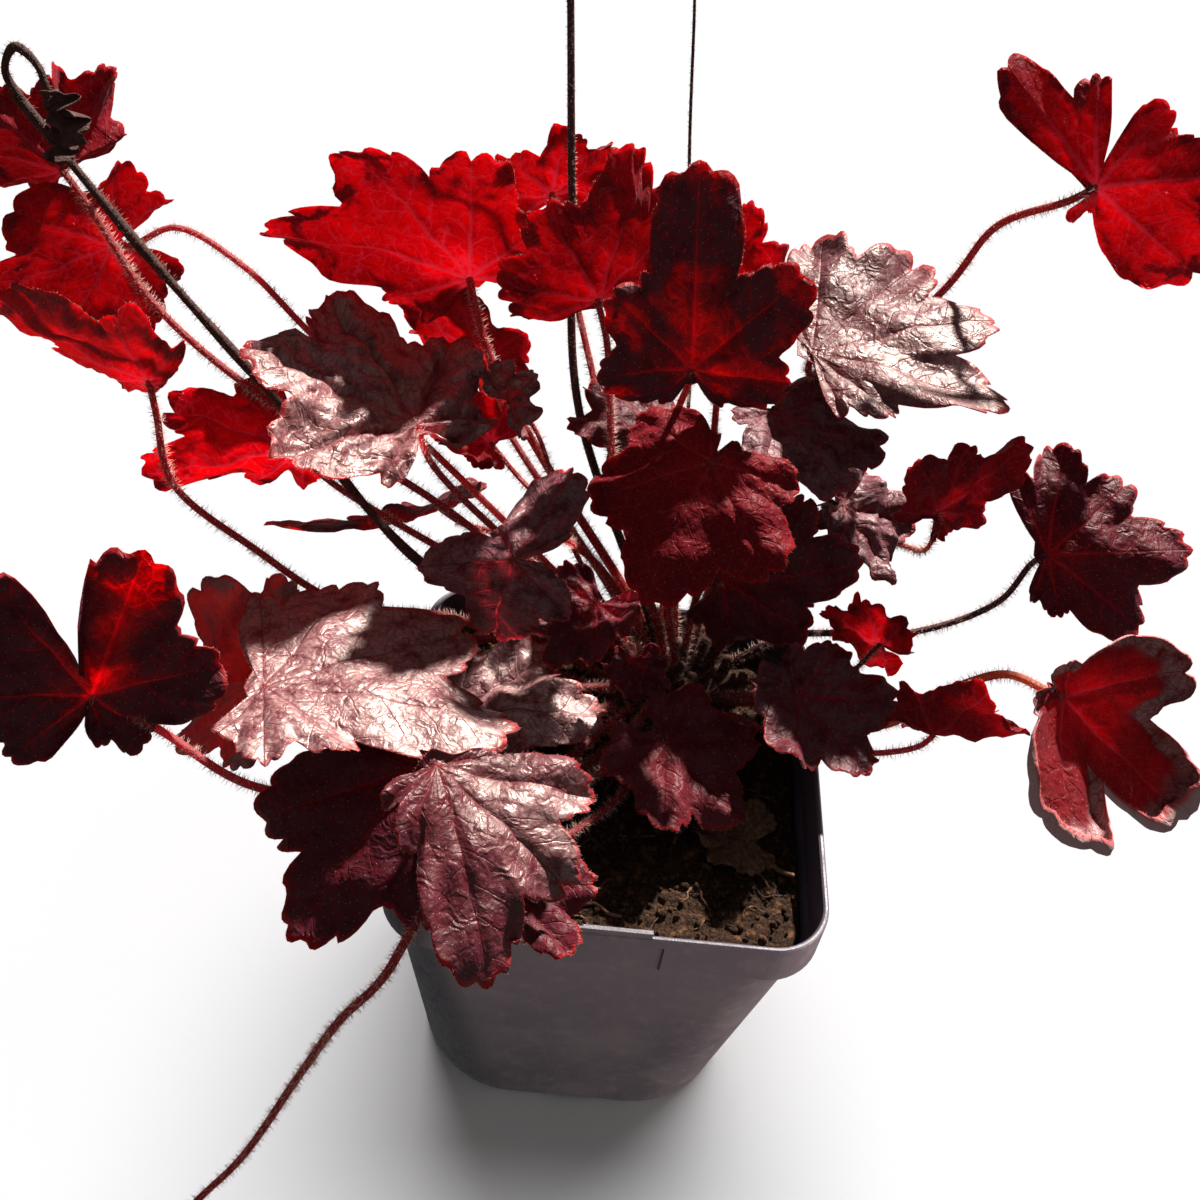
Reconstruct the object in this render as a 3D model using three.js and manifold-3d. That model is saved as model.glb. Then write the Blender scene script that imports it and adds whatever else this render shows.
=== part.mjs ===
// A heuchera (coral bells) growing in a square nursery pot.
// Millimetres, +Z up. The origin is the centre of the pot's base, on the surface it stands on;
// -Y is the front of the pot, where its label recess is.
import * as THREE from 'three';
import { mergeVertices } from 'three/addons/utils/BufferGeometryUtils.js';
import Module from 'manifold-3d';

const wasm = await Module();
wasm.setup();

const V = (x, y, z) => new THREE.Vector3(x, y, z);
const rad = THREE.MathUtils.degToRad;
const unit = (a) => V(...a).normalize();
const pointsOf = (list) => list.map((p) => V(...p));

// ---------------------------------------------------------------- driving dimensions

const POT = {
  height: 132,
  rimSide: 130,
  rimCorner: 17,
  bandHeight: 17,
  bandStep: 3,
  baseSide: 108,
  baseCorner: 34,
  edgeRound: 2.5,
  wall: 1.8,
  floor: 4,
  notchWidth: 14,
  notchHeight: 2.6,
  notchDepth: 6,
  drainRadius: 5,
  drainReach: 30,
  recessHalfWidth: 17.5,
  recessDepth: 0.6,
  recessDrop: 4,
  tabHalfWidth: 13.5,
  tabHeight: 2.2,
  tabThickness: 1.2,
};

const SOIL = { level: 118, roughness: 2, gap: 0.3 };

const CROWN = { x: 18, y: 36, radius: 21, edge: 120, rise: 8, foot: 104, knobs: 1.2 };

// Feet of the stems: how far inside the crown's edge they stay, their spacing, how upright they
// stand beside how far out they are, and how far they rise before they bend.
const FEET = { edge: 2.8, spacing: 4.7, rounds: 60, upright: 24, straight: 8 };

// Stems: sides and steps of their tubes, the gap round each in the crown, and how deep it stands.
const PETIOLE_SIDES = 4;
const PETIOLE_STEPS = 6;
const HOLE_GAP = 0.45;
const SINK = 6;

// The neck below a hub: its length, its most share of the way to the hub, and how far it turns
// from that way towards the blade's face and its tip.
const NECK = { length: 14, share: 0.3, way: 0.8, face: 0.6, tip: 0.3 };

// Edges shorter than this, left where pieces are joined, are closed up.
const TIDY = 0.05;

// Blades: thickness, depth of the teeth and of the sinuses between lobes beside the radius,
// and the angle from one tooth to the next.
const BLADE = { thickness: 0.7, tooth: 0.1, sinus: 0.24, toothStep: 18 };
const RIM_POINTS = 40;

// Lobes of a blade: direction from the midrib in degrees, half width, and which of a leaf's own
// lobe lengths it takes.
const LOBE_TURN = 54;
const LOBES = [
  { at: 0, halfWidth: 27, length: 0 },
  { at: LOBE_TURN, halfWidth: 27, length: 1 },
  { at: -LOBE_TURN, halfWidth: 27, length: 2 },
  { at: 2 * LOBE_TURN, halfWidth: 27, length: 3 },
  { at: -2 * LOBE_TURN, halfWidth: 27, length: 4 },
  { at: 150, halfWidth: 18, length: 3, basal: true },
  { at: -150, halfWidth: 18, length: 4, basal: true },
];
const LOBE_LENGTHS = [1, 0.93, 0.93, 0.79, 0.79];
const BASAL_SHARE = 0.76;

const TONES = {
  dark: { colour: 0x4a1826, roughness: 0.4 },
  glow: { colour: 0xa81a1c, roughness: 0.5 },
  pink: { colour: 0xb56a72, roughness: 0.4 },
};

// One row for each leaf, with its directions as seen in the pot's own frame.
//   hub     where the petiole meets the blade
//   tip     the way its midrib points, and face the way its upper face looks
//   size    hub to tip of the middle lobe; lobes is each lobe's length beside it
//   base    length of the two lobes by the petiole, beside the side lobes
//   clefts  deep cuts between lobes: direction from the midrib, depth and half width
//   spread  1 closes the blade round its base, less leaves it open like a fan
//   droop   bend down along the midrib, and fold the V across it
//   cup     how far the lobes stand over the hub, as in a bowl
//   wave    how far the lobes stand over the sinuses between them
//   via     points that the petiole passes, and radius its half thickness
const LEAVES = [
  { name: 'leaf_back_left_large', tone: 'glow', hub: [-62, 123, 216], tip: [-6, 0, 8], face: [1, 10, 1],
    size: 63, lobes: [1, 0.9, 1.1, 0.65, 0.5], spread: 0.7, droop: 25, fold: -5, wave: 3,
    via: [[-31, 86, 172], [-50, 103, 193]], radius: 1.6 },
  { name: 'leaf_back_left_low', tone: 'glow', hub: [-57, 132, 177], tip: [-8, 3, 5], face: [5, 8, 3],
    size: 38, spread: 0.9, droop: 15, fold: 5, wave: 2, via: [[-6, 58, 146]] },
  { name: 'leaf_back_high', tone: 'glow', hub: [-39, 167, 225], tip: [1, -2, 10], face: [-4, 9, 3],
    size: 30, spread: 0.85, droop: 15, fold: 0, wave: 2, via: [[3, 63, 152]] },
  { name: 'leaf_back_centre', tone: 'glow', hub: [-20, 103, 227], tip: [2, 0, 10], face: [-6, 8, 1],
    size: 50, lobes: [1, 1, 0.8, 0.8, 0.7], spread: 0.75, droop: 0, fold: 10, wave: 3,
    via: [[-8, 60, 188]] },
  { name: 'leaf_upper_centre', hub: [10, 72, 227], tip: [-1, 4, 9], face: [-1, -9, 4], size: 58,
    lobes: [1.02, 0.58, 0.76, 0.5, 0.52], base: 0.5, clefts: [[27, 0.28, 13], [-27, 0.28, 13]],
    spread: 0.9, droop: 15, fold: -5, wave: 3, via: [[8, 74, 203]] },
  { name: 'leaf_upper_rear', tone: 'glow', hub: [19, 121, 220], tip: [2, 4, 9], face: [-5, 8, -3],
    size: 33, spread: 0.85, droop: 10, fold: 0, wave: 2 },
  { name: 'leaf_upper_right', tone: 'pink', hub: [48,90,225], tip: [9, 3, 2], face: [-1, -2, 10],
    size: 63, lobes: [1, 1, 1, 0.85, 0.55], spread: 0.6, droop: 15, fold: 0, wave: 3,
    via: [[66, 116, 198]] },
  { name: 'leaf_right_drooping', hub: [40, 80, 208], tip: [6, -8, -2], face: [2, 0, 10], size: 36,
    lobes: [1, 1.05, 0.8, 0.8, 0.5], base: 0.35, spread: 0.9, droop: 0, fold: 0, wave: 2 },
  { name: 'leaf_right_upright', tone: 'glow', hub: [93, 60, 192], tip: [7, 6, 5], face: [-6, 8, -2],
    size: 36, lobes: [1, 0.6, 0.7, 0.35, 0.8], spread: 0.85, droop: 25, fold: -5, wave: 2,
    via: [[42, 72, 150], [86, 80, 158]], radius: 0.9 },
  { name: 'leaf_far_right', hub: [132, 59, 180], tip: [10, 0, 2], face: [-1, -7, 7], size: 49,
    lobes: [1, 0.8, 0.9, 0.8, 0.45], spread: 0.7, droop: 25, fold: -15, wave: 2,
    via: [[56, 50, 139], [96, 50, 147], [122, 55, 161]], radius: 1.2 },
  { name: 'leaf_far_right_curled', tone: 'glow', hub: [134, 13, 164], tip: [8, -3, -6],
    face: [2, -6, 7], size: 62, lobes: [1, 0.68, 0.86, 0.2, 0.25], base: 0.5,
    clefts: [[27, 0.35, 14], [-27, 0.35, 14]], spread: 1.12, droop: 15, fold: 15, cup: 14, wave: 4,
    via: [[62, 17, 140], [83, 13, 142], [104, 19, 157], [119, 22, 162]], radius: 1.6 },
  { name: 'leaf_low_right_small', tone: 'glow', hub: [99, 9, 145], tip: [9, -2, 5], face: [-1, 9, 5],
    size: 29, lobes: [1, 0.8, 0.95, 0.85, 0.8], spread: 0.85, droop: 15, fold: 35, wave: 2,
    via: [[62, 3, 139], [84, 3, 141]], radius: 1.1 },
  { name: 'leaf_top_right', tone: 'glow', hub: [127,124,273], tip: [10,1,2], face: [0,9,-3], size: 44,
    lobes: [1, 1.15, 0.71, 0.2, 0.75], base: 1.45, clefts: [[-83,0.8,14]], spread: 0.82, droop: 12,
    fold: 15, wave: 2, via: [[44, 90, 180], [94, 127, 232], [103, 128, 254]], radius: 1.4 },
  { name: 'leaf_top_left', tone: 'glow', hub: [-180, 98, 254], tip: [-3, -5, 8], face: [-7, 7, 4],
    size: 37, lobes: [1, 0.8, 0.75, 0.95, 0.6], spread: 0.8, droop: 5, fold: 30, wave: 2,
    via: [[-60, 62, 168], [-124, 69, 205], [-152, 78, 225], [-168, 91, 240]], radius: 1.3 },
  { name: 'leaf_left_high', tone: 'glow', hub: [-175, 113, 220], tip: [-8, -6, -1], face: [-6, 8, 2],
    size: 43, lobes: [1, 1.05, 0.9, 0.85, 0.85], spread: 0.9, droop: 15, fold: -10, wave: 2,
    via: [[-114, 109, 199], [-134, 115, 216], [-156, 119, 225]], radius: 1.2 },
  { name: 'leaf_left_folded', tone: 'glow', hub: [-148, 54, 215], tip: [-8, -2, 5], face: [0, 9, 5],
    size: 46, lobes: [1, 0.6, 0.7, 0.35, 0.6], base: 0.4, spread: 0.85, droop: -5, fold: 10, wave: 2,
    via: [[-60, 42, 140], [-92, 42, 141], [-119, 42, 162], [-142, 44, 184]], radius: 1.3 },
  { name: 'leaf_puckered', tone: 'pink', hub: [-71, 64, 201], tip: [-6, 8, 3], face: [4, -1, 9],
    size: 57, lobes: [1, 1, 0.8, 0.9, 0.5], base: 0.55, spread: 0.85, droop: 15, fold: 0, wave: 3 },
  { name: 'leaf_left_under', tone: 'glow', hub: [-112, 83, 168], tip: [-10, 0, -2], face: [-2, 9, 2],
    size: 54, lobes: [1, 0.85, 0.55, 0.65, 0.45], spread: 0.7, droop: 20, fold: 10, wave: 2 },
  { name: 'leaf_left_level', hub: [-67, 96, 137], tip: [-9, -4, -2], face: [-4, 6, 7], size: 62,
    lobes: [1, 0.55, 0.7, 0.5, 0.7], spread: 0.85, droop: -25, fold: 5, wave: 1,
    via: [[-16, 62, 138], [-40, 80, 141]] },
  { name: 'leaf_low_left', hub: [-155,-13,150], tip: [3,4,8], face: [2, -9, 4], size: 48,
    lobes: [1,0.95,0.83,0.85,0.44], clefts: [[32,0.75,14]], spread: 1, droop: 15, fold: 5, wave: 3,
    via: [[-24,0,134],[-56,-24,134.5],[-106,-26,131],[-136,-16,141]], radius: 1.5 },
  { name: 'leaf_low_left_rear', tone: 'pink', hub: [-112, 23, 121], tip: [-7, -5, 5], face: [-7, 6, -3],
    size: 44, lobes: [1, 1, 0.85, 0.8, 0.8], spread: 0.8, droop: 10, fold: 10, wave: 2,
    via: [[-60, 28, 139], [-92, 26, 136]] },
  { name: 'leaf_front_left_glossy', tone: 'pink', hub: [-104, -13, 162], tip: [10, 0, 1],
    face: [-1, 2, 9], size: 74, lobes: [1,0.95,0.52,0.85,0.45], spread: 0.7, droop: 25, fold: 0,
    wave: 3, via: [[-40, 34, 140], [-72, 18, 148]] },
  { name: 'leaf_front_pale', tone: 'pink', hub: [-51, 0, 141], tip: [10, 1, 2], face: [-2, -2, 10],
    size: 48, lobes: [1, 0.9, 0.6, 0.6, 0.35], base: 0.3, spread: 0.7, droop: 20, fold: -10, wave: 3,
    via: [[-24, 15, 139]] },
  { name: 'leaf_front_left_large', hub: [-56,-33,159], tip: [-5,-6,-5], face: [-3,-4,9], size: 61,
    lobes: [1,0.75,0.93,0.3,0.55], base: 0.5, spread: 0.7, droop: 10, fold: -8, wave: 2,
    via: [[-14, -6, 134], [-30, -26, 143]] },
  { name: 'leaf_front_hanging', tone: 'pink', hub: [-51,-39,168], tip: [4,-9,-1], face: [1,-1,9],
    size: 62, lobes: [1, 0.85, 0.42, 0.75, 0.3], base: 0.4, spread: 0.62, droop: 48, fold: -5, wave: 2,
    via: [[-6, -14, 136], [-26, -34, 154]] },
  { name: 'leaf_front_low', hub: [-28, -55, 137], tip: [7, -7, 0], face: [2, 0, 10], size: 27,
    lobes: [1, 0.9, 0.85, 0.79, 0.6], spread: 0.9, droop: 15, fold: 20, wave: 2,
    via: [[2, -18, 133], [-14, -38, 137]] },
  { name: 'leaf_inner_left', hub: [-37, 23, 188], tip: [-8, 2, -4], face: [-5, -7, 6], size: 44,
    lobes: [0.82,0.85,0.38,0.6,0.85], base: 0.5, spread: 1, droop: 10, fold: -40, wave: 3,
    via: [[-10, 52, 160], [-28, 44, 180]] },
  { name: 'leaf_inner_centre', tone: 'glow', hub: [18, 47, 213], tip: [-4, -8, -4], face: [-2, -4, 9],
    size: 47, lobes: [1, 0.85, 0.9, 0.6, 0.75], base: 0.4, spread: 1, droop: 35, fold: -20, wave: 3,
    via: [[12, 38, 165]] },
  { name: 'leaf_inner_right', hub: [29, 45, 167], tip: [10, 0, 2], face: [1, -10, 2], size: 46,
    lobes: [1, 0.85, 0.85, 0.75, 0.65], spread: 0.8, droop: 20, fold: -5, wave: 2 },
  { name: 'leaf_right_spotted', hub: [67, 73, 179], tip: [7, -5, -5], face: [5, -3, 8], size: 31,
    lobes: [1, 1, 0.7, 0.7, 0.5], base: 0.4, spread: 0.9, droop: 15, fold: 5, wave: 3,
    via: [[46, 64, 165]] },
  { name: 'leaf_front_small', hub: [15, -3, 142], tip: [8, -6, -3], face: [2, -2, 10], size: 33,
    lobes: [1, 0.9, 0.9, 0.7, 0.75], spread: 0.95, droop: 10, fold: 5, wave: 1.5, radius: 1.2 },
  { name: 'leaf_front_right', hub: [56, 16, 148], tip: [6, -7, -3], face: [2, -1, 10], size: 33,
    lobes: [1, 1, 0.95, 0.7, 0.7], spread: 1, droop: -15, fold: 15, wave: 2, radius: 1.2 },
  { name: 'leaf_right_tiny', tone: 'glow', hub: [82, 36, 155], tip: [-8, 5, 2], face: [5, 8, 2],
    size: 22, spread: 0.9, droop: 20, fold: 5, wave: 1, radius: 0.9 },
  { name: 'leaf_inner_cupped', hub: [-10, 31, 164], tip: [-5, -7, -3], face: [-5, -5, 8], size: 25,
    spread: 0.8, droop: 20, fold: 20, wave: 1, radius: 1.1 },
  { name: 'leaf_inner_shaded', hub: [4, 92, 188], tip: [-9, -3, 2], face: [2, 1, 10], size: 31,
    spread: 0.95, droop: 15, fold: 0, wave: 2, radius: 1.2 },
  { name: 'leaf_inner_pale', tone: 'pink', hub: [-45, 91, 192], tip: [4, -3, 8], face: [-1, -5, 4],
    size: 20, base: 0.5, spread: 0.7, droop: 10, fold: 25, wave: 1, via: [[-20, 58, 164]],
    radius: 0.9 },
  { name: 'leaf_crown_brown', hub: [3, 15, 159], tip: [1, -3, -9], face: [2, -9, 3], size: 16,
    lobes: [1, 0.9, 0.8, 0.7, 0.7], spread: 0.8, droop: 15, fold: 20, wave: 2, radius: 1 },
  { name: 'leaf_inner_red', tone: 'glow', hub: [-50, 90, 175], tip: [-9, 2, 3], face: [-2, -4, 8],
    size: 22, spread: 0.8, droop: 10, fold: 40, wave: 1, via: [[-14, 60, 158]], radius: 1 },
];

// Stalks and the withered leaf's stem: the points each passes above the crown.
const STALK = {
  radius: 1.5,
  path: [[-22, 97, 188], [-31, 133, 241], [-38, 165, 293], [-42, 181, 322]],
};
const THIN_STALK = {
  radius: 0.6,
  path: [[14, 58, 146], [15, 84, 172], [12, 120, 215], [5, 144, 254], [0, 165, 298], [-3, 174, 318]],
};
// Flower buds: each grows from a stalk at a share of its last span, out along a branchlet.
const BUDS = { radius: 1.9, branch: 0.55, count: 5, reach: 9, turn: 137.5 };

const WITHERED = {
  radius: 1.9,
  path: [[-20, 39, 142], [-64, 43, 160], [-108, 58, 204], [-150, 71, 248], [-182, 83, 284]],
  hookRadius: 1.5,
  hook: [[-179.5, 82, 281], [-184, 84, 290], [-180, 84, 297], [-173, 80, 294], [-171, 77, 284]],
  blade: { hub: [-171, 77, 284], tip: [2, -3, -6], face: [6, 6, 3], size: 14, spread: 0.8,
    droop: 20, fold: 35, wave: 0.8 },
};

// A leaf that trails over the rim and lies beside the pot, and a dead one on the soil.
const TRAILING = {
  radius: 1.4,
  path: [[-8, -3, 127], [-34, -38, 129], [-48, -59, 138], [-60, -76, 118], [-72, -80, 98],
    [-86, -81, 60], [-106, -92, 16], [-120, -103, 3]],
  blade: { hub: [-134, -127, 2.6], tip: [-6, -8, 0], face: [0, 0, 10], size: 36, spread: 0.85,
    droop: 0, fold: 4, wave: 0.6 },
};
const DRY_LEAF = {
  radius: 0.8,
  path: [[57, -33, 122.5], [53, -30, 120.2], [49, -25, 119.6], [45, -20, 119.4]],
  blade: { hub: [45, -20, 119.4], tip: [-10, 1, 0], face: [0, 0, 10], size: 19, spread: 0.85,
    droop: 0, fold: 12, wave: 0.5 },
};

// ---------------------------------------------------------------- solids

function solid(geometry) {
  geometry.deleteAttribute('normal');
  geometry.deleteAttribute('uv');
  const merged = mergeVertices(geometry, 1e-4);
  const { position } = merged.attributes;
  return new wasm.Manifold(new wasm.Mesh({
    numProp: 3,
    vertProperties: new Float32Array(position.array),
    triVerts: new Uint32Array(merged.index.array),
  }));
}

function indexedGeometry(points, triangles) {
  const geometry = new THREE.BufferGeometry().setFromPoints(points);
  geometry.setIndex(triangles);
  return geometry;
}

function meshOf(name, body, material) {
  const { vertProperties, triVerts } = body.getMesh();
  const geometry = new THREE.BufferGeometry();
  geometry.setAttribute('position', new THREE.BufferAttribute(Float32Array.from(vertProperties), 3));
  geometry.setIndex(new THREE.BufferAttribute(Uint32Array.from(triVerts), 1));
  geometry.computeVertexNormals();
  const mesh = new THREE.Mesh(geometry, material);
  mesh.name = name;
  return mesh;
}

function tube(points, radius, sides, steps) {
  const section = new THREE.Shape();
  for (let i = 0; i < sides; i += 1) {
    const a = (2 * Math.PI * i) / sides;
    const p = [radius * Math.cos(a), radius * Math.sin(a)];
    if (i === 0) section.moveTo(...p);
    else section.lineTo(...p);
  }
  section.closePath();
  const path = new THREE.CatmullRomCurve3(points, false, 'centripetal');
  return solid(new THREE.ExtrudeGeometry(section, { steps, bevelEnabled: false, extrudePath: path }));
}

// A closed skin over rings of equal length, the first and last ring capped at their centres.
function loft(rings, capped = true) {
  const n = rings[0].length;
  const points = rings.flat();
  const triangles = [];
  for (let r = 0; r + 1 < rings.length; r += 1) {
    for (let i = 0; i < n; i += 1) {
      const j = (i + 1) % n;
      triangles.push(r * n + i, r * n + j, (r + 1) * n + j);
      triangles.push(r * n + i, (r + 1) * n + j, (r + 1) * n + i);
    }
  }
  if (capped) {
    const first = points.length;
    const last = first + 1;
    const centre = (ring) => ring.reduce((s, p) => s.add(p), V(0, 0, 0)).divideScalar(n);
    points.push(centre(rings[0]), centre(rings[rings.length - 1]));
    const top = (rings.length - 1) * n;
    for (let i = 0; i < n; i += 1) {
      const j = (i + 1) % n;
      triangles.push(first, j, i);
      triangles.push(last, top + i, top + j);
    }
  }
  return indexedGeometry(points, triangles);
}

function roundedSquare(side, corner, z, cornerPoints = 6) {
  const h = side / 2 - corner;
  const ring = [];
  [[h, -h, -90], [h, h, 0], [-h, h, 90], [-h, -h, 180]].forEach(([cx, cy, start]) => {
    for (let i = 0; i < cornerPoints; i += 1) {
      const a = rad(start + (90 * i) / (cornerPoints - 1));
      ring.push(V(cx + corner * Math.cos(a), cy + corner * Math.sin(a), z));
    }
  });
  return ring;
}

function block(width, depth, height, x, y, z) {
  return solid(new THREE.BoxGeometry(width, depth, height).translate(x, y, z));
}

// ---------------------------------------------------------------- pot and soil

const bodyTop = POT.height - POT.bandHeight;

// Outer side length and corner radius of the pot's tapered body at height z.
function bodySection(z) {
  const t = z / bodyTop;
  const side = THREE.MathUtils.lerp(POT.baseSide, POT.rimSide - 2 * POT.bandStep, t);
  const corner = THREE.MathUtils.lerp(POT.baseCorner, POT.rimCorner - 1, t);
  return { side, corner };
}

function bodyRing(z, inset) {
  const { side, corner } = bodySection(z);
  return roundedSquare(side - 2 * inset, corner - inset * 0.5, z);
}

function makePot() {
  const rim = (inset, z) => roundedSquare(POT.rimSide - 2 * inset, POT.rimCorner - inset, z);
  const outside = [
    bodyRing(0, POT.edgeRound),
    bodyRing(POT.edgeRound * 0.3, POT.edgeRound * 0.3),
    bodyRing(POT.edgeRound, 0),
    bodyRing(bodyTop, 0),
    rim(0.3, bodyTop),
    rim(0, POT.height - 1),
    rim(0.6, POT.height),
  ];
  const inside = [
    rim(POT.wall + 0.2, POT.height),
    rim(POT.wall + 0.9, bodyTop + POT.wall),
    bodyRing(bodyTop, POT.wall),
    bodyRing(POT.floor, POT.wall + 0.6),
  ];
  let pot = solid(loft([...outside, ...inside]));
  const reach = POT.baseSide / 2;
  [[0, -1], [1, 0], [0, 1], [-1, 0]].forEach(([x, y]) => {
    const width = y === 0 ? 2 * POT.notchDepth : POT.notchWidth;
    const depth = y === 0 ? POT.notchWidth : 2 * POT.notchDepth;
    pot = pot.subtract(block(width, depth, 2 * POT.notchHeight, x * reach, y * reach, 0));
  });
  [45, 135, 225, 315].forEach((angle) => {
    const hole = new THREE.CylinderGeometry(POT.drainRadius, POT.drainRadius, 3 * POT.floor, 16);
    hole.rotateX(Math.PI / 2);
    hole.translate(POT.drainReach * Math.cos(rad(angle)), POT.drainReach * Math.sin(rad(angle)), 0);
    pot = pot.subtract(solid(hole));
  });
  const front = -POT.rimSide / 2;
  const recessTop = POT.height - POT.recessDrop;
  const recessHeight = recessTop - bodyTop + 1;
  pot = pot.subtract(block(2 * POT.recessHalfWidth, 2, recessHeight,
    0, front + POT.recessDepth - 1, recessTop - recessHeight / 2));
  const tab = block(2 * POT.tabHalfWidth, POT.tabThickness, POT.tabHeight + 2,
    0, front + POT.tabThickness, POT.height + POT.tabHeight / 2 - 1);
  return pot.add(tab);
}

// Height of the soil: a few soft lumps over its level.
function soilHeight(x, y) {
  const lumps = Math.sin(x * 0.17 + 1) * Math.cos(y * 0.21 + 2) + 0.6 * Math.sin(x * 0.43 - y * 0.37);
  return SOIL.level + (SOIL.roughness / 2) * lumps;
}

function makeSoil() {
  const gap = SOIL.gap + 0.1;
  const rings = [
    bodyRing(POT.floor + gap, POT.wall + 0.6 + gap),
    bodyRing(bodyTop - 1, POT.wall + gap),
  ];
  [0, 0.25, 0.55, 0.8].forEach((t) => {
    rings.push(bodyRing(bodyTop - 1, POT.wall + gap).map((p) => {
      const x = p.x * (1 - t);
      const y = p.y * (1 - t);
      return V(x, y, t === 0 ? bodyTop + 0.5 : soilHeight(x, y));
    }));
  });
  return solid(loft(rings));
}

// ---------------------------------------------------------------- crown

function crownHeight(distance) {
  return CROWN.edge + CROWN.rise * (1 - (distance / CROWN.radius) ** 2);
}

// The woody crown: a low knobbly dome with a stub that sits in the soil; grow widens it all round.
function crownSolid(grow) {
  const profile = [
    new THREE.Vector2(0, CROWN.foot - grow),
    new THREE.Vector2(CROWN.radius * 0.55, CROWN.foot - grow),
    new THREE.Vector2(CROWN.radius, CROWN.foot + 8),
  ];
  [1, 0.72, 0.4].forEach((t) => {
    profile.push(new THREE.Vector2(CROWN.radius * t, crownHeight(CROWN.radius * t)));
  });
  profile.push(new THREE.Vector2(0, crownHeight(0)));
  const geometry = new THREE.LatheGeometry(profile, 20);
  const { position } = geometry.attributes;
  const p = V(0, 0, 0);
  for (let i = 0; i < position.count; i += 1) {
    p.fromBufferAttribute(position, i);
    const around = Math.atan2(p.z, p.x);
    const away = Math.hypot(p.x, p.z);
    if (away < 1) continue;
    const wider = (away + grow + CROWN.knobs * Math.sin(5 * around + p.y * 0.3)) / away;
    position.setXYZ(i, p.x * wider, p.y, p.z * wider);
  }
  geometry.rotateX(Math.PI / 2);
  geometry.translate(CROWN.x, CROWN.y, 0);
  return solid(geometry);
}

// ---------------------------------------------------------------- leaves

// Outline of a flat blade of size 1: its radius in the direction phi, degrees from the midrib.
function bladeRadius(phi, leaf) {
  const lengths = leaf.lobes || LOBE_LENGTHS;
  let radius = 0;
  LOBES.forEach((lobe) => {
    const t = Math.abs(phi - lobe.at) / lobe.halfWidth;
    const length = lengths[lobe.length] * (lobe.basal ? leaf.base || BASAL_SHARE : 1);
    if (t < 2.2) radius = Math.max(radius, length * (1 - BLADE.sinus * t ** 2));
  });
  (leaf.clefts || []).forEach(([at, depth, halfWidth]) => {
    radius *= 1 - depth * Math.max(0, 1 - Math.abs(phi - at) / halfWidth);
  });
  const step = phi / BLADE.toothStep;
  const offTip = 2 * Math.abs(step - Math.round(step));
  radius *= 1 - BLADE.tooth * offTip ** 1.4;
  const base = Math.sqrt(Math.min(1, (180 - Math.abs(phi)) / 12));
  return Math.max(radius * base, 0.08);
}

function bladeFrame(leaf) {
  const tip = unit(leaf.tip);
  const face = unit(leaf.face);
  face.addScaledVector(tip, -face.dot(tip)).normalize();
  const left = new THREE.Vector3().crossVectors(face, tip);
  return { tip, face, left };
}

// A point of the blade, given along the midrib (u) and to the left of it (v) on the flat leaf.
function bladePoint(leaf, frame, u, v) {
  const fold = rad(leaf.fold);
  const reach = Math.hypot(u, v) / leaf.size;
  const wave = leaf.wave * reach ** 2 * Math.cos((Math.atan2(v, u) * 360) / LOBE_TURN);
  const rise = Math.abs(v) * Math.sin(fold) + wave + (leaf.cup || 0) * reach ** 2;
  const bend = rad(leaf.droop || 0.01) / leaf.size;
  const along = Math.sin(bend * u) / bend + rise * Math.sin(bend * u);
  const up = (Math.cos(bend * u) - 1) / bend + rise * Math.cos(bend * u);
  return V(...leaf.hub).addScaledVector(frame.tip, along)
    .addScaledVector(frame.left, v * Math.cos(fold)).addScaledVector(frame.face, up);
}

function bladeNormal(leaf, frame, u, v) {
  const e = 0.5;
  const a = bladePoint(leaf, frame, u + e, v).sub(bladePoint(leaf, frame, u - e, v));
  const b = bladePoint(leaf, frame, u, v + e).sub(bladePoint(leaf, frame, u, v - e));
  return a.cross(b).normalize();
}

// Both faces of a blade share one net: rings of points round the hub, each ring half as many
// as the one outside it, so a waved blade keeps its thickness everywhere.
function bladeNet(leaf) {
  const reaches = leaf.size > 54 ? [1, 0.62, 0.3] : [1, 0.5];
  const points = [];
  const starts = [];
  reaches.forEach((reach, ring) => {
    const count = RIM_POINTS / 2 ** ring;
    starts.push(points.length);
    for (let i = 0; i < count; i += 1) {
      const phi = ((i + 1) * 360) / count - 180;
      const r = bladeRadius(phi, leaf) * leaf.size * reach;
      const a = rad(phi === 180 ? 180 : phi * leaf.spread);
      points.push([r * Math.cos(a), r * Math.sin(a)]);
    }
  });
  const hub = points.length;
  points.push([0, 0]);
  const triangles = [];
  reaches.forEach((reach, ring) => {
    const count = RIM_POINTS / 2 ** ring;
    const start = starts[ring];
    if (ring === reaches.length - 1) {
      for (let i = 0; i < count; i += 1) triangles.push([start + i, start + ((i + 1) % count), hub]);
      return;
    }
    const inner = starts[ring + 1];
    for (let j = 0; j < count / 2; j += 1) {
      const next = inner + ((j + 1) % (count / 2));
      const [a, b, c] = [1, 2, 3].map((k) => start + ((2 * j + k) % count));
      triangles.push([inner + j, a, b], [inner + j, b, next], [next, b, c]);
    }
  });
  return { points, triangles };
}

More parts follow.
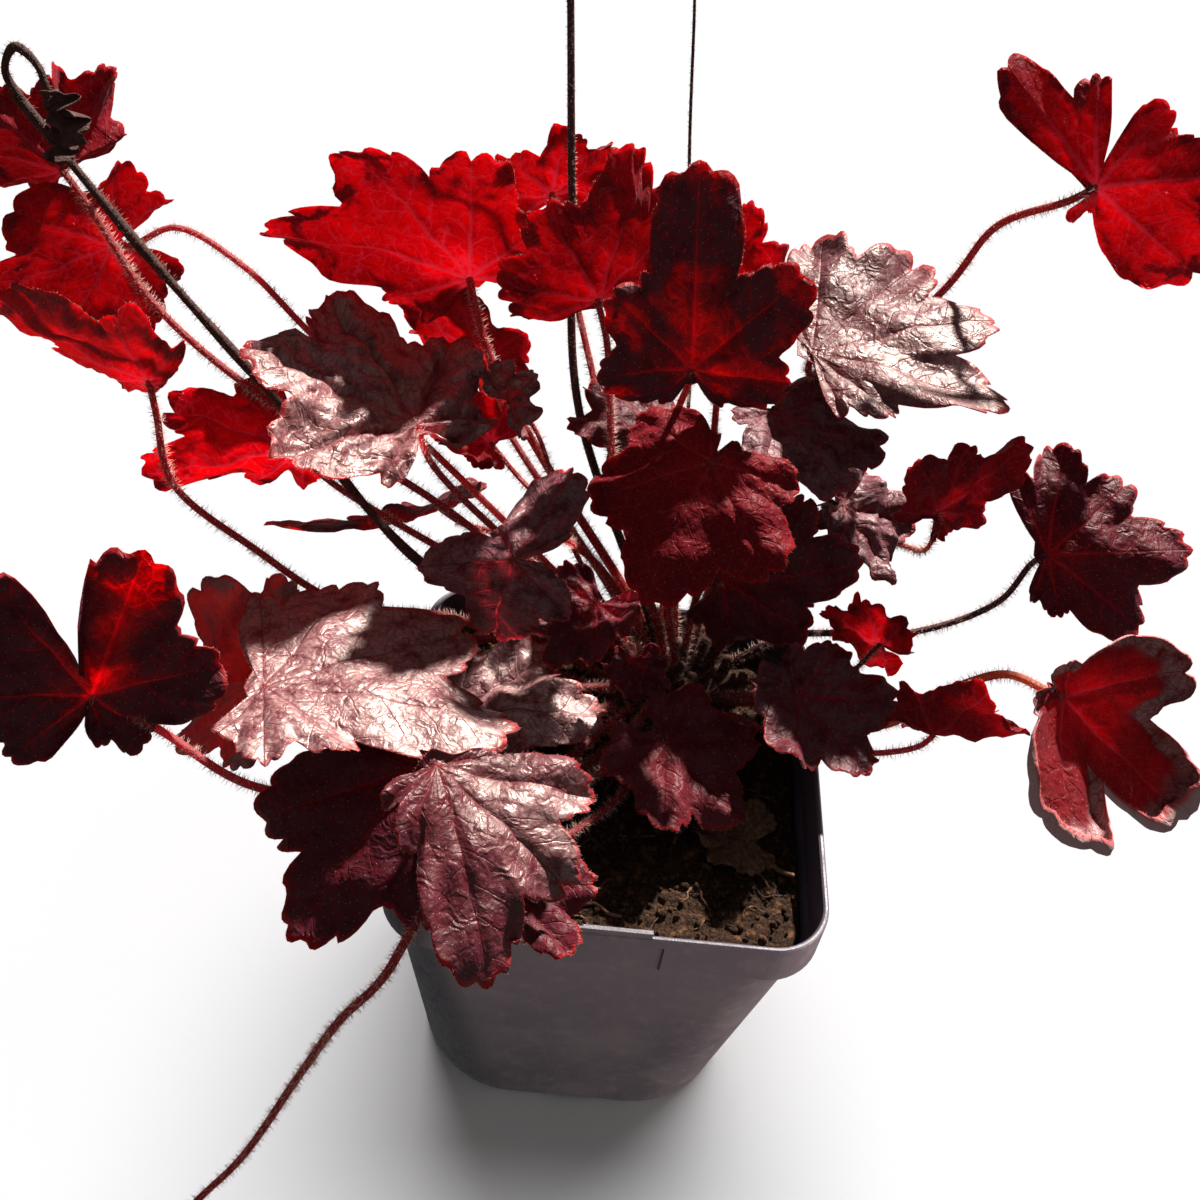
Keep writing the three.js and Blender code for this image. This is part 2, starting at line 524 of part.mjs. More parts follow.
function makeBlade(leaf) {
  const frame = bladeFrame(leaf);
  const net = bladeNet(leaf);
  const half = BLADE.thickness / 2;
  const top = [];
  const bottom = [];
  net.points.forEach(([u, v]) => {
    const p = bladePoint(leaf, frame, u, v);
    const n = bladeNormal(leaf, frame, u, v);
    top.push(p.clone().addScaledVector(n, half));
    bottom.push(p.clone().addScaledVector(n, -half));
  });
  const below = top.length;
  const triangles = [];
  net.triangles.forEach(([a, b, c]) => triangles.push(a, b, c, below + a, below + c, below + b));
  for (let i = 0; i < RIM_POINTS; i += 1) {
    const j = (i + 1) % RIM_POINTS;
    triangles.push(i, below + i, below + j, i, below + j, j);
  }
  return solid(indexedGeometry([...top, ...bottom], triangles));
}

// Feet of the stems on the crown. A stem that leaves low stands near the crown's edge and a steep
// one near its middle, on the side it leans to; then all are pushed apart to their spacing.
function crownFeet(aims) {
  const reach = CROWN.radius - FEET.edge;
  const feet = aims.map((aim) => {
    const away = aim.clone().sub(V(CROWN.x, CROWN.y, CROWN.edge));
    return new THREE.Vector2(away.x, away.y).multiplyScalar(reach / away.length());
  });
  for (let round = 0; round < FEET.rounds; round += 1) {
    feet.forEach((p, i) => feet.slice(i + 1).forEach((q) => {
      const apart = q.clone().sub(p);
      const short = FEET.spacing - apart.length();
      if (short > 0) {
        apart.setLength(short / 2);
        p.sub(apart);
        q.add(apart);
      }
    }));
    feet.forEach((p) => p.clampLength(0, reach));
  }
  return feet;
}

// A stem's path from inside the crown through the points given.
function rootedPath(foot, points) {
  const away = foot.length();
  const ground = V(CROWN.x + foot.x, CROWN.y + foot.y, crownHeight(away));
  const lean = V(foot.x, foot.y, FEET.upright).normalize();
  return [
    ground.clone().addScaledVector(lean, -SINK),
    ground.clone().addScaledVector(lean, FEET.straight),
    ...points,
  ];
}

// The petiole reaches the hub of the blade from below, by way of its neck.
function petiolePoints(leaf) {
  const frame = bladeFrame(leaf);
  const hub = V(...leaf.hub);
  const via = pointsOf(leaf.via || []);
  const last = via.length ? via[via.length - 1] : V(CROWN.x, CROWN.y, CROWN.edge);
  const way = hub.clone().sub(last);
  const arrive = way.clone().normalize().multiplyScalar(NECK.way)
    .addScaledVector(frame.face, NECK.face).addScaledVector(frame.tip, NECK.tip).normalize();
  const neck = hub.clone().addScaledVector(arrive, -Math.min(NECK.length, way.length() * NECK.share));
  return [...via, neck, hub];
}

// ---------------------------------------------------------------- the plant

const plant = new THREE.Group();
const bores = [];

function addNode(name, body, material) {
  plant.add(meshOf(name, body.asOriginal().simplify(TIDY), material));
}

// A stem on the crown, with what grows on it, and the bore that its foot stands in.
function addStem(name, path, radius, extras, material) {
  const steps = Math.round(PETIOLE_STEPS + (path.length - 4));
  const deeper = path[0].clone().add(path[0].clone().sub(path[1]).setLength(HOLE_GAP));
  bores.push(tube([deeper, ...path.slice(1)], radius + HOLE_GAP, PETIOLE_SIDES, steps));
  const stem = tube(path, radius, PETIOLE_SIDES, steps);
  addNode(name, extras.reduce((body, extra) => body.add(extra), stem), material);
}

function plainMaterial(color, roughness) {
  return new THREE.MeshStandardMaterial({ color, roughness, metalness: 0 });
}

const stems = LEAVES.map((leaf) => {
  const { colour, roughness } = TONES[leaf.tone || 'dark'];
  return {
    name: leaf.name,
    points: petiolePoints(leaf),
    radius: leaf.radius || 1.3,
    extras: [makeBlade(leaf)],
    material: plainMaterial(colour, roughness),
  };
});

// Small round buds on short branchlets that wind up the top of a stalk.
function flowerBuds(path) {
  const top = path[path.length - 1];
  const below = path[path.length - 2];
  const buds = [];
  for (let i = 0; i < BUDS.count; i += 1) {
    const share = 0.35 + (0.65 * i) / (BUDS.count - 1);
    const from = below.clone().lerp(top, share);
    const angle = rad(i * BUDS.turn);
    const reach = BUDS.reach * (1.3 - share);
    const end = from.clone().add(V(reach * Math.cos(angle), reach * Math.sin(angle), 0.6 * reach));
    buds.push(tube([from, from.clone().lerp(end, 0.6).add(V(0, 0, -0.5)), end], BUDS.branch, 4, 2));
    const bud = new THREE.SphereGeometry(BUDS.radius, 5, 4);
    bud.scale(1, 1, 1.3);
    bud.translate(end.x, end.y, end.z);
    buds.push(solid(bud));
  }
  return buds;
}

const stalkPath = pointsOf(STALK.path);
const thinPath = pointsOf(THIN_STALK.path);
stems.push(
  {
    name: 'leaf_withered',
    points: pointsOf(WITHERED.path),
    radius: WITHERED.radius,
    extras: [
      tube(pointsOf(WITHERED.hook), WITHERED.hookRadius, PETIOLE_SIDES, PETIOLE_STEPS),
      makeBlade(WITHERED.blade),
    ],
    material: plainMaterial(0x3a1d1a, 0.7),
  },
  {
    name: 'leaf_trailing',
    points: [...pointsOf(TRAILING.path), V(...TRAILING.blade.hub)],
    radius: TRAILING.radius,
    extras: [makeBlade(TRAILING.blade)],
    material: plainMaterial(0x5a1420, 0.5),
  },
  {
    name: 'flower_stalk',
    points: stalkPath,
    radius: STALK.radius,
    extras: flowerBuds(stalkPath),
    material: plainMaterial(0x2c1216, 0.5),
  },
  {
    name: 'flower_stalk_thin',
    points: thinPath,
    radius: THIN_STALK.radius,
    extras: [],
    material: plainMaterial(0x4a2a2a, 0.6),
  },
);

const feet = crownFeet(stems.map((stem) => stem.points[0]));
stems.forEach((stem, i) => {
  addStem(stem.name, rootedPath(feet[i], stem.points), stem.radius, stem.extras, stem.material);
});

const crown = bores.reduce((body, bore) => body.subtract(bore), crownSolid(0));
addNode('crown', crown, plainMaterial(0x4a2c1c, 0.9));

const dryStem = tube(pointsOf(DRY_LEAF.path), DRY_LEAF.radius, PETIOLE_SIDES, 6);
addNode('leaf_dry_on_soil', dryStem.add(makeBlade(DRY_LEAF.blade)), plainMaterial(0x7a5a3a, 0.9));

addNode('soil', makeSoil().subtract(crownSolid(SOIL.gap)), plainMaterial(0x2b1a12, 0.95));
addNode('pot', makePot(), plainMaterial(0x2a2a2c, 0.45));

export default plant;
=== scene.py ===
"""A heuchera in a square nursery pot: the looks of the plant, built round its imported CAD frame.

Lengths are millimetres until a mesh is made. The origin is the centre of the pot's base, +Z is up
and -Y is the front of the pot.
"""

import math
from types import SimpleNamespace as Sizes

import bpy
import numpy as np
from mathutils import Matrix, Vector


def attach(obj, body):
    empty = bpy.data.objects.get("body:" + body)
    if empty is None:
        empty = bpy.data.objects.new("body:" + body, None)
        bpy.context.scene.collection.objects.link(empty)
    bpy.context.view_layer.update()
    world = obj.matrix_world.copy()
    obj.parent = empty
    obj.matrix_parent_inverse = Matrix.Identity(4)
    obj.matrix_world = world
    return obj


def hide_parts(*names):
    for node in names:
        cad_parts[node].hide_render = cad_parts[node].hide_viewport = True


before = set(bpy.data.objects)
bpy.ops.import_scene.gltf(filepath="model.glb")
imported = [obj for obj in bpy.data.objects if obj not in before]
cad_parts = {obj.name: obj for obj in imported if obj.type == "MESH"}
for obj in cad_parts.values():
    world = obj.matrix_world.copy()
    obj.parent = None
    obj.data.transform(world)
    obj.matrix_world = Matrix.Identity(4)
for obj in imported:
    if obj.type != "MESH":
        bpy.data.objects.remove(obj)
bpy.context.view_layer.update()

MM = 0.001
TAU = 2 * math.pi

# ---------------------------------------------------------------- camera

IMAGE_SIDE = 1200
SENSOR = 36.0
FOCAL_PIXELS = 1372.0
CAMERA_PLACE = (-26.4, -262.4, 473.1)
CAMERA_AZIMUTH = math.radians(-3.3)
CAMERA_ELEVATION = math.radians(46.2)
CAMERA_ROLL = math.radians(8.4)
CLIP_START, CLIP_END = 0.01, 20


def make_camera():
    data = bpy.data.cameras.new("camera")
    data.sensor_width = SENSOR
    data.lens = FOCAL_PIXELS * SENSOR / IMAGE_SIDE
    data.clip_start, data.clip_end = CLIP_START, CLIP_END
    camera = bpy.data.objects.new("camera", data)
    camera.matrix_world = (Matrix.Translation(Vector(CAMERA_PLACE) * MM)
                           @ Matrix.Rotation(CAMERA_AZIMUTH, 4, "Z")
                           @ Matrix.Rotation(math.pi / 2 - CAMERA_ELEVATION, 4, "X")
                           @ Matrix.Rotation(CAMERA_ROLL, 4, "Z"))
    bpy.context.scene.collection.objects.link(camera)
    bpy.context.scene.camera = camera


make_camera()

# ---------------------------------------------------------------- dimensions, as in the solids

# The label recess alone is shallower than in the solids.
POT = Sizes(height=132, rim_side=130, rim_corner=17, band=17, step=3, base_side=108,
           base_corner=34, edge=2.5, wall=1.8, floor=4, notch_width=14, notch_height=2.6,
           notch_depth=6, drain_radius=5, drain_reach=30, recess_half=17.5, recess_depth=0.3,
           recess_drop=4, tab_half=13.5, tab_height=2.2, tab_thick=1.2)
BODY_TOP = POT.height - POT.band
SOIL = Sizes(level=118, roughness=2, gap=0.3)
CROWN = Sizes(x=18, y=36, radius=21, edge=120, rise=8, foot=104, knobs=1.2)
FEET = Sizes(edge=2.8, spacing=4.7, rounds=60, upright=24, straight=8)
SINK = 6
NECK = Sizes(length=14, share=0.3, way=0.8, face=0.6, tip=0.3)
LOBE_TURN = 54
# A lobe's middle, its half width, which of the five lengths it has, and whether it is basal.
LOBES = [(0, 27, 0, False), (54, 27, 1, False), (-54, 27, 2, False), (108, 27, 3, False),
         (-108, 27, 4, False), (150, 18, 3, True), (-150, 18, 4, True)]
SINUS, TOOTH, TOOTH_STEP, TOOTH_ROUND = 0.24, 0.075, 12, 1.8


# What a leaf has unless its row says otherwise. In its shape: lengths of its five lobes, share of the
# basal ones, clefts, radius and route of its stem; and, in millimetres, blisters between the veins
# (pucker), broad unevenness, ruffles, lift and roll of the margin, and cup of the whole. In its
# colours: the kind of stem, tint from dark to red, silver bloom, pale edge, and how much more light
# comes through outside the patches of painted shadow (open). Extra silver on one lobe, at an angle of its
# own, is painted sunlight, and with a negative silver the other lobes stay in painted shade; open_lobe
# adds to the openness on one lobe alone.
COMMON = dict(lobes=(1, 0.93, 0.93, 0.79, 0.79), base=0.76, clefts=(), radius=1.3, via=(), pucker=1.0,
              uneven=1.0, ruffle=1.0, lip=0.0, roll=0.0, cup=0.0, stem="red", tint=0.0, silver=0.0,
              silver_lobe=0.0, silver_at=0.0, pale_edge=0.0, open=0.0, open_lobe=0.0)


def row(name, tone, hub, tip, face, size, spread, droop, fold, wave, **own):
    """A leaf: its blade's tone, hub, way of the tip and of the face, size, bends and all its own."""
    bends = dict(size=size, spread=spread, droop=droop, fold=fold, wave=wave)
    return Sizes(**{**COMMON, **bends, **own}, name="leaf_" + name, tone=tone, hub=hub, tip=tip, face=face)


# One row for each leaf, with the same values as its solid.
LEAVES = [
    row("back_left_large", "glow", (-62, 123, 216), (-6, 0, 8), (1, 10, 1), 63, 0.7, 25, -5, 3,
        lobes=(1, 0.9, 1.1, 0.65, 0.5), via=((-31, 86, 172), (-50, 103, 193)), radius=1.6, tint=0.3),
    row("back_left_low", "glow", (-57, 132, 177), (-8, 3, 5), (5, 8, 3), 38, 0.9, 15, 5, 2,
        via=((-6, 58, 146),)),
    row("back_high", "glow", (-39, 167, 225), (1, -2, 10), (-4, 9, 3), 30, 0.85, 15, 0, 2,
        via=((3, 63, 152),)),
    row("back_centre", "glow", (-20, 103, 227), (2, 0, 10), (-6, 8, 1), 50, 0.75, 0, 10, 3,
        lobes=(1, 1, 0.8, 0.8, 0.7), via=((-8, 60, 188),), lip=5.0, open=-0.1),
    row("upper_centre", "dark", (10, 72, 227), (-1, 4, 9), (-1, -9, 4), 58, 0.9, 15, -5, 3,
        lobes=(1.02, 0.58, 0.76, 0.5, 0.52), base=0.5, clefts=((27, 0.28, 13), (-27, 0.28, 13)),
        via=((8, 74, 203),), open=0.3),
    row("upper_rear", "glow", (19, 121, 220), (2, 4, 9), (-5, 8, -3), 33, 0.85, 10, 0, 2),
    # Painted light: silver on one lobe stands in for sunlight there; the rest is kept dark as painted shade.
    row("upper_right", "pink", (48, 90, 225), (9, 3, 2), (-1, -2, 10), 63, 0.6, 15, 0, 3,
        lobes=(1, 1, 1, 0.85, 0.55), via=((66, 116, 198),), pucker=0.7, uneven=1.1, silver=-0.55,
        silver_lobe=0.6, silver_at=-25.0),
    row("right_drooping", "dark", (40, 80, 208), (6, -8, -2), (2, 0, 10), 36, 0.9, 0, 0, 2,
        lobes=(1, 1.05, 0.8, 0.8, 0.5), base=0.35, silver=0.4),
    row("right_upright", "glow", (93, 60, 192), (7, 6, 5), (-6, 8, -2), 36, 0.85, 25, -5, 2,
        lobes=(1, 0.6, 0.7, 0.35, 0.8), via=((42, 72, 150), (86, 80, 158)), radius=0.9, open=-0.25),
    row("far_right", "dark", (132, 59, 180), (10, 0, 2), (-1, -7, 7), 49, 0.7, 25, -15, 2,
        lobes=(1, 0.8, 0.9, 0.8, 0.45), via=((56, 50, 139), (96, 50, 147), (122, 55, 161)), radius=1.2,
        silver=-0.12, pucker=0.5, stem="dark"),
    row("far_right_curled", "glow", (134, 13, 164), (8, -3, -6), (2, -6, 7), 62, 1.12, 15, 15, 4,
        lobes=(1, 0.68, 0.86, 0.2, 0.25), base=0.5, clefts=((27, 0.35, 14), (-27, 0.35, 14)), cup=14,
        via=((62, 17, 140), (83, 13, 142), (104, 19, 157), (119, 22, 162)), radius=1.6, uneven=1.2,
        ruffle=1.0, roll=4.2, open=-0.2, pale_edge=1.0, stem="orange"),
    row("low_right_small", "glow", (99, 9, 145), (9, -2, 5), (-1, 9, 5), 29, 0.85, 15, 35, 2,
        lobes=(1, 0.8, 0.95, 0.85, 0.8), via=((62, 3, 139), (84, 3, 141)), radius=1.1, open=-0.2,
        stem="pink"),
    row("top_right", "glow", (127, 124, 273), (10, 1, 2), (0, 9, -3), 44, 0.82, 12, 15, 2,
        lobes=(1, 1.15, 0.71, 0.2, 0.75), base=1.45, clefts=((-83, 0.8, 14),),
        via=((44, 90, 180), (94, 127, 232), (103, 128, 254)), radius=1.4, open=-0.04),
    row("top_left", "glow", (-180, 98, 254), (-3, -5, 8), (-7, 7, 4), 37, 0.8, 5, 30, 2,
        lobes=(1, 0.8, 0.75, 0.95, 0.6),
        via=((-60, 62, 168), (-124, 69, 205), (-152, 78, 225), (-168, 91, 240)), radius=1.3, open=-0.25),
    row("left_high", "glow", (-175, 113, 220), (-8, -6, -1), (-6, 8, 2), 43, 0.9, 15, -10, 2,
        lobes=(1, 1.05, 0.9, 0.85, 0.85), via=((-114, 109, 199), (-134, 115, 216), (-156, 119, 225)),
        radius=1.2, open=-0.05, stem="pink"),
    row("left_folded", "glow", (-148, 54, 215), (-8, -2, 5), (0, 9, 5), 46, 0.85, -5, 10, 2,
        lobes=(1, 0.6, 0.7, 0.35, 0.6), base=0.4,
        via=((-60, 42, 140), (-92, 42, 141), (-119, 42, 162), (-142, 44, 184)), radius=1.3, lip=4.0,
        open=0.1, silver=0.1),
    row("puckered", "pink", (-71, 64, 201), (-6, 8, 3), (4, -1, 9), 57, 0.85, 15, 0, 3,
        lobes=(1, 1, 0.8, 0.9, 0.5), base=0.55, pucker=3.4, uneven=1.8, silver=-0.1),
    row("left_under", "glow", (-112, 83, 168), (-10, 0, -2), (-2, 9, 2), 54, 0.7, 20, 10, 2,
        lobes=(1, 0.85, 0.55, 0.65, 0.45), open=0.25),
    row("left_level", "dark", (-67, 96, 137), (-9, -4, -2), (-4, 6, 7), 62, 0.85, -25, 5, 1,
        lobes=(1, 0.55, 0.7, 0.5, 0.7), via=((-16, 62, 138), (-40, 80, 141)), open=0.5),
    row("low_left", "dark", (-155, -13, 150), (3, 4, 8), (2, -9, 4), 48, 1, 15, 5, 3,
        lobes=(1, 0.95, 0.83, 0.85, 0.44), clefts=((32, 0.75, 14),),
        via=((-24, 0, 134), (-56, -24, 134.5), (-106, -26, 131), (-136, -16, 141)), radius=1.5, lip=3.0,
        open=-0.06, open_lobe=0.8, stem="pink"),
    row("low_left_rear", "pink", (-112, 23, 121), (-7, -5, 5), (-7, 6, -3), 44, 0.8, 10, 10, 2,
        lobes=(1, 1, 0.85, 0.8, 0.8), via=((-60, 28, 139), (-92, 26, 136)), tint=0.8, open=1.2,
        silver=0.5),
    row("front_left_glossy", "pink", (-104, -13, 162), (10, 0, 1), (-1, 2, 9), 74, 0.7, 25, 0, 3,
        lobes=(1, 0.95, 0.52, 0.85, 0.45), via=((-40, 34, 140), (-72, 18, 148)), pucker=0.5, uneven=1.1,
        silver=0.15),
    row("front_pale", "pink", (-51, 0, 141), (10, 1, 2), (-2, -2, 10), 48, 0.7, 20, -10, 3,
        lobes=(1, 0.9, 0.6, 0.6, 0.35), base=0.3, via=((-24, 15, 139),), pucker=1.4, uneven=1.4,
        ruffle=1.5, silver=0.25),
    row("front_left_large", "dark", (-56, -33, 159), (-5, -6, -5), (-3, -4, 9), 61, 0.7, 10, -8, 2,
        lobes=(1, 0.75, 0.93, 0.3, 0.55), base=0.5, via=((-14, -6, 134), (-30, -26, 143)), silver=-0.06),
    # Painted light: silver on one lobe stands in for sunlight there; the rest is kept dark as painted shade.
    row("front_hanging", "pink", (-51, -39, 168), (4, -9, -1), (1, -1, 9), 62, 0.62, 48, -5, 2,
        lobes=(1, 0.85, 0.42, 0.75, 0.3), base=0.4, via=((-6, -14, 136), (-26, -34, 154)), pucker=1.2,
        uneven=1.3, silver=-0.7, silver_lobe=0.85, silver_at=85.0, stem="pink"),
    row("front_low", "dark", (-28, -55, 137), (7, -7, 0), (2, 0, 10), 27, 0.9, 15, 20, 2,
        lobes=(1, 0.9, 0.85, 0.79, 0.6), via=((2, -18, 133), (-14, -38, 137))),
    row("inner_left", "dark", (-37, 23, 188), (-8, 2, -4), (-5, -7, 6), 44, 1, 10, -40, 3,
        lobes=(0.82, 0.85, 0.38, 0.6, 0.85), base=0.5, via=((-10, 52, 160), (-28, 44, 180)), pucker=1.6,
        uneven=1.5, silver=0.45, open=-0.08),
    row("inner_centre", "glow", (18, 47, 213), (-4, -8, -4), (-2, -4, 9), 47, 1, 35, -20, 3,
        lobes=(1, 0.85, 0.9, 0.6, 0.75), base=0.4, via=((12, 38, 165),), open=-0.32, silver=-0.1),
    row("inner_right", "dark", (29, 45, 167), (10, 0, 2), (1, -10, 2), 46, 0.8, 20, -5, 2,
        lobes=(1, 0.85, 0.85, 0.75, 0.65)),
    row("right_spotted", "dark", (67, 73, 179), (7, -5, -5), (5, -3, 8), 31, 0.9, 15, 5, 3,
        lobes=(1, 1, 0.7, 0.7, 0.5), base=0.4, via=((46, 64, 165),), pucker=2.0, uneven=1.6, silver=0.45,
        stem="dark"),
    row("front_small", "dark", (15, -3, 142), (8, -6, -3), (2, -2, 10), 33, 0.95, 10, 5, 1.5,
        lobes=(1, 0.9, 0.9, 0.7, 0.75), radius=1.2, tint=0.3, silver=-0.02),
    row("front_right", "dark", (56, 16, 148), (6, -7, -3), (2, -1, 10), 33, 1, -15, 15, 2,
        lobes=(1, 1, 0.95, 0.7, 0.7), radius=1.2, silver=0.2),
    row("right_tiny", "glow", (82, 36, 155), (-8, 5, 2), (5, 8, 2), 22, 0.9, 20, 5, 1, radius=0.9,
        stem="dark"),
    row("inner_cupped", "dark", (-10, 31, 164), (-5, -7, -3), (-5, -5, 8), 25, 0.8, 20, 20, 1,
        radius=1.1),
    row("inner_shaded", "dark", (4, 92, 188), (-9, -3, 2), (2, 1, 10), 31, 0.95, 15, 0, 2, radius=1.2),
    row("inner_pale", "pink", (-45, 91, 192), (4, -3, 8), (-1, -5, 4), 20, 0.7, 10, 25, 1, base=0.5,
        via=((-20, 58, 164),), radius=0.9),
    row("crown_brown", "dark", (3, 15, 159), (1, -3, -9), (2, -9, 3), 16, 0.8, 15, 20, 2,
        lobes=(1, 0.9, 0.8, 0.7, 0.7), radius=1),
    row("inner_red", "glow", (-50, 90, 175), (-9, 2, 3), (-2, -4, 8), 22, 0.8, 10, 40, 1,
        via=((-14, 60, 158),), radius=1),
]

# ---------------------------------------------------------------- mesh helpers

# Each vertex has four attributes of three numbers: lobe (along and beside the nearest main vein,
# nearness to it), blade (upper face or not, share of the way to the margin, or along a stem), flat
# (place in the flat blade in cm, size) and look (tint, silver, openness). A row of values holds all,
# and blade and flat start in it at the places BLADE and FLAT.
ATTRIBUTES = ("lobe", "blade", "flat", "look")
BLADE, FLAT, VALUES = 3, 6, 12


def unit(a):
    a = np.asarray(a, float)
    return a / np.linalg.norm(a)


def units(rows):
    return rows / np.linalg.norm(rows, axis=1)[:, None]


def seeded(name):
    """A random generator that depends on a piece's name alone."""
    return np.random.default_rng(sum((i + 1) * ord(c) for i, c in enumerate(name)))


class Parts:
    """Gathers the vertices, faces, materials and attributes of one piece, with its own random draws."""

    def __init__(self, seed=""):
        self.seed, self.rng = seed, seeded(seed)
        self.points, self.faces, self.kinds, self.values = [], [], [], []
        self.count = 0

    def add(self, points, faces, kind, values=None):
        """Faces are rows of 3 or 4 indices; values are rows of all attributes' numbers."""
        points = np.asarray(points, float)
        self.points.append(points)
        self.values.append(np.zeros((len(points), VALUES)) if values is None else values)
        for rows in faces:
            self.faces.append(rows + self.count)
            self.kinds.append(np.full(len(rows), kind))
        self.count += len(points)

    def make(self, name, materials):
        mesh = bpy.data.meshes.new(name)
        mesh.vertices.add(self.count)
        points = np.concatenate(self.points) * MM
        mesh.vertices.foreach_set("co", points.astype(np.float32).ravel())
        sizes = np.concatenate([np.full(len(f), f.shape[1]) for f in self.faces])
        corners = np.concatenate([f.ravel() for f in self.faces])
        mesh.loops.add(len(corners))
        mesh.loops.foreach_set("vertex_index", corners.astype(np.int32))
        mesh.polygons.add(len(sizes))
        starts = np.concatenate([[0], np.cumsum(sizes)[:-1]])
        mesh.polygons.foreach_set("loop_start", starts.astype(np.int32))
        mesh.polygons.foreach_set("material_index", np.concatenate(self.kinds).astype(np.int32))
        mesh.update(calc_edges=True)
        mesh.validate()
        values = np.concatenate(self.values).astype(np.float32)
        for i, key in enumerate(ATTRIBUTES):
            attribute = mesh.attributes.new(key, "FLOAT_VECTOR", "POINT")
            attribute.data.foreach_set("vector", values[:, 3 * i:3 * i + 3].ravel())
        mesh.polygons.foreach_set("use_smooth", np.ones(len(sizes), bool))
        for material in materials:
            mesh.materials.append(material)
        piece = bpy.data.objects.new(name, mesh)
        bpy.context.scene.collection.objects.link(piece)
        return piece


def add_piece(parts, node, materials):
    """Makes the fine piece that takes a node's place."""
    piece = parts.make(node + "_fine", materials)
    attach(piece, "root")
    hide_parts(node)
    return piece


def skin_faces(rings, around):
    """Faces of a closed skin over rings of points, which the first and the last centre follow."""
    i, j = np.meshgrid(np.arange(rings - 1), np.arange(around), indexing="ij")
    k = (j + 1) % around
    quads = np.stack([i * around + j, i * around + k, (i + 1) * around + k, (i + 1) * around + j], -1)
    j = np.arange(around)
    k = (j + 1) % around
    centre = rings * around
    last = centre - around
    return [quads.reshape(-1, 4), np.stack([k, j, np.full(around, centre)], 1),
            np.stack([last + j, last + k, np.full(around, centre + 1)], 1)]


def ring_loft(rings):
    """Points and faces of a skin over rings of equal length, capped at both ends."""
    centres = np.array([rings[0].mean(axis=0), rings[-1].mean(axis=0)])
    return np.concatenate([*rings, centres]), skin_faces(len(rings), len(rings[0]))


def spline(points, spacing):
    """Points at even spacing on the centripetal Catmull-Rom curve through the given ones."""
    p = [np.asarray(q, float) for q in points]
    p = [2 * p[0] - p[1], *p, 2 * p[-1] - p[-2]]
    rows = []
    for i in range(1, len(p) - 2):
        a, b, c, d = p[i - 1:i + 3]
        t0, t1, t2 = (max(np.linalg.norm(y - x) ** 0.5, 1e-4) for x, y in ((a, b), (b, c), (c, d)))
        m1 = ((b - a) / t0 - (c - a) / (t0 + t1) + (c - b) / t1) * t1
        m2 = ((c - b) / t1 - (d - b) / (t1 + t2) + (d - c) / t2) * t1
        t = np.linspace(0, 1, 24, endpoint=False)[:, None]
        rows.append(b + m1 * t + (-3 * b + 3 * c - 2 * m1 - m2) * t**2 + (2 * b - 2 * c + m1 + m2) * t**3)
    rows.append(p[-2][None])
    dense = np.concatenate(rows)
    along = np.concatenate([[0], np.cumsum(np.linalg.norm(np.diff(dense, axis=0), axis=1))])
    even = np.linspace(0, along[-1], max(4, int(along[-1] / spacing) + 1))
    return pick(dense, along, even), even


def pick(rows, along, at):
    """Rows of three numbers that stand at places along a line, read at other places."""
    return np.stack([np.interp(at, along, rows[:, k]) for k in range(3)], 1)


def frames(path):
    """Unit tangent, side and other side at each point of a path, turning as little as they can."""
    tangents = units(np.gradient(path, axis=0))
    side = np.cross(tangents[0], (0, 0, 1) if abs(tangents[0][2]) < 0.9 else (1, 0, 0))
    sides = []
    for t in tangents:
        side = unit(side - t * side.dot(t))
        sides.append(side)
    return tangents, np.array(sides), np.cross(tangents, sides)


def add_tube(parts, points, radii, kind=0, sides=8, spacing=2.5):
    """A round tube with closed ends; radii is a number or a function of the share along it."""
    path, along = spline(points, spacing)
    share = along / along[-1]
    r = np.full(len(path), float(radii)) if np.isscalar(radii) else radii(share)
    tangents, a, b = frames(path)
    turn = TAU * np.arange(sides) / sides
    rings = (path[:, None] + r[:, None, None] * (a[:, None] * np.cos(turn)[None, :, None]
             + b[:, None] * np.sin(turn)[None, :, None])).reshape(-1, 3)
    caps = np.array([path[0] - 0.3 * r[0] * tangents[0], path[-1] + 0.3 * r[-1] * tangents[-1]])
    values = np.zeros((len(rings) + 2, VALUES))
    values[:-2, BLADE + 1] = np.repeat(share, sides)
    values[:-2, FLAT] = np.repeat(along, sides) / 10
    values[:-2, FLAT + 1] = np.tile(turn, len(path))
    parts.add(np.concatenate([rings, caps]), skin_faces(len(path), sides), kind, values)
    return path, along, tangents, a, b, r


def add_hairs(parts, roots, ways, lengths, width, kind):
    """Fine hairs: each a three-sided spike from its root."""
    ways = units(ways)
    other = np.where(np.abs(ways[:, 2:3]) < 0.8, np.array([[0, 0, 1.0]]), np.array([[1.0, 0, 0]]))
    a = units(np.cross(ways, other))
    b = np.cross(ways, a)
    corners = [roots + width * (a * math.cos(t) + b * math.sin(t)) for t in (0, TAU / 3, 2 * TAU / 3)]
    tips = roots + ways * lengths[:, None]
    points = np.stack([*corners, tips], 1).reshape(-1, 3)
    base = 4 * np.arange(len(roots))[:, None]
    tris = np.concatenate([base + [0, 1, 3], base + [1, 2, 3], base + [2, 0, 3]])
    parts.add(points, [tris], kind)


def hairs_on_tube(parts, tube, density, length, kind=1, start=8.0, width=0.1):
    """Hairs that stand off a tube all round, from start mm along it."""
    path, along, tangents, a, b, r = tube
    rng = parts.rng
    span = along[-1] - start
    count = int(max(span, 0) * density)
    if not count:
        return
    at = start + span * rng.random(count)
    turn = TAU * rng.random(count)
    out = pick(a, along, at) * np.cos(turn)[:, None] + pick(b, along, at) * np.sin(turn)[:, None]
    roots = pick(path, along, at) + out * (0.93 * np.interp(at, along, r))[:, None]
    lean = 0.35 * rng.standard_normal((count, 3)) + pick(tangents, along, at) * 0.15
    add_hairs(parts, roots, out + lean, length * rng.uniform(0.5, 1.15, count), width, kind)


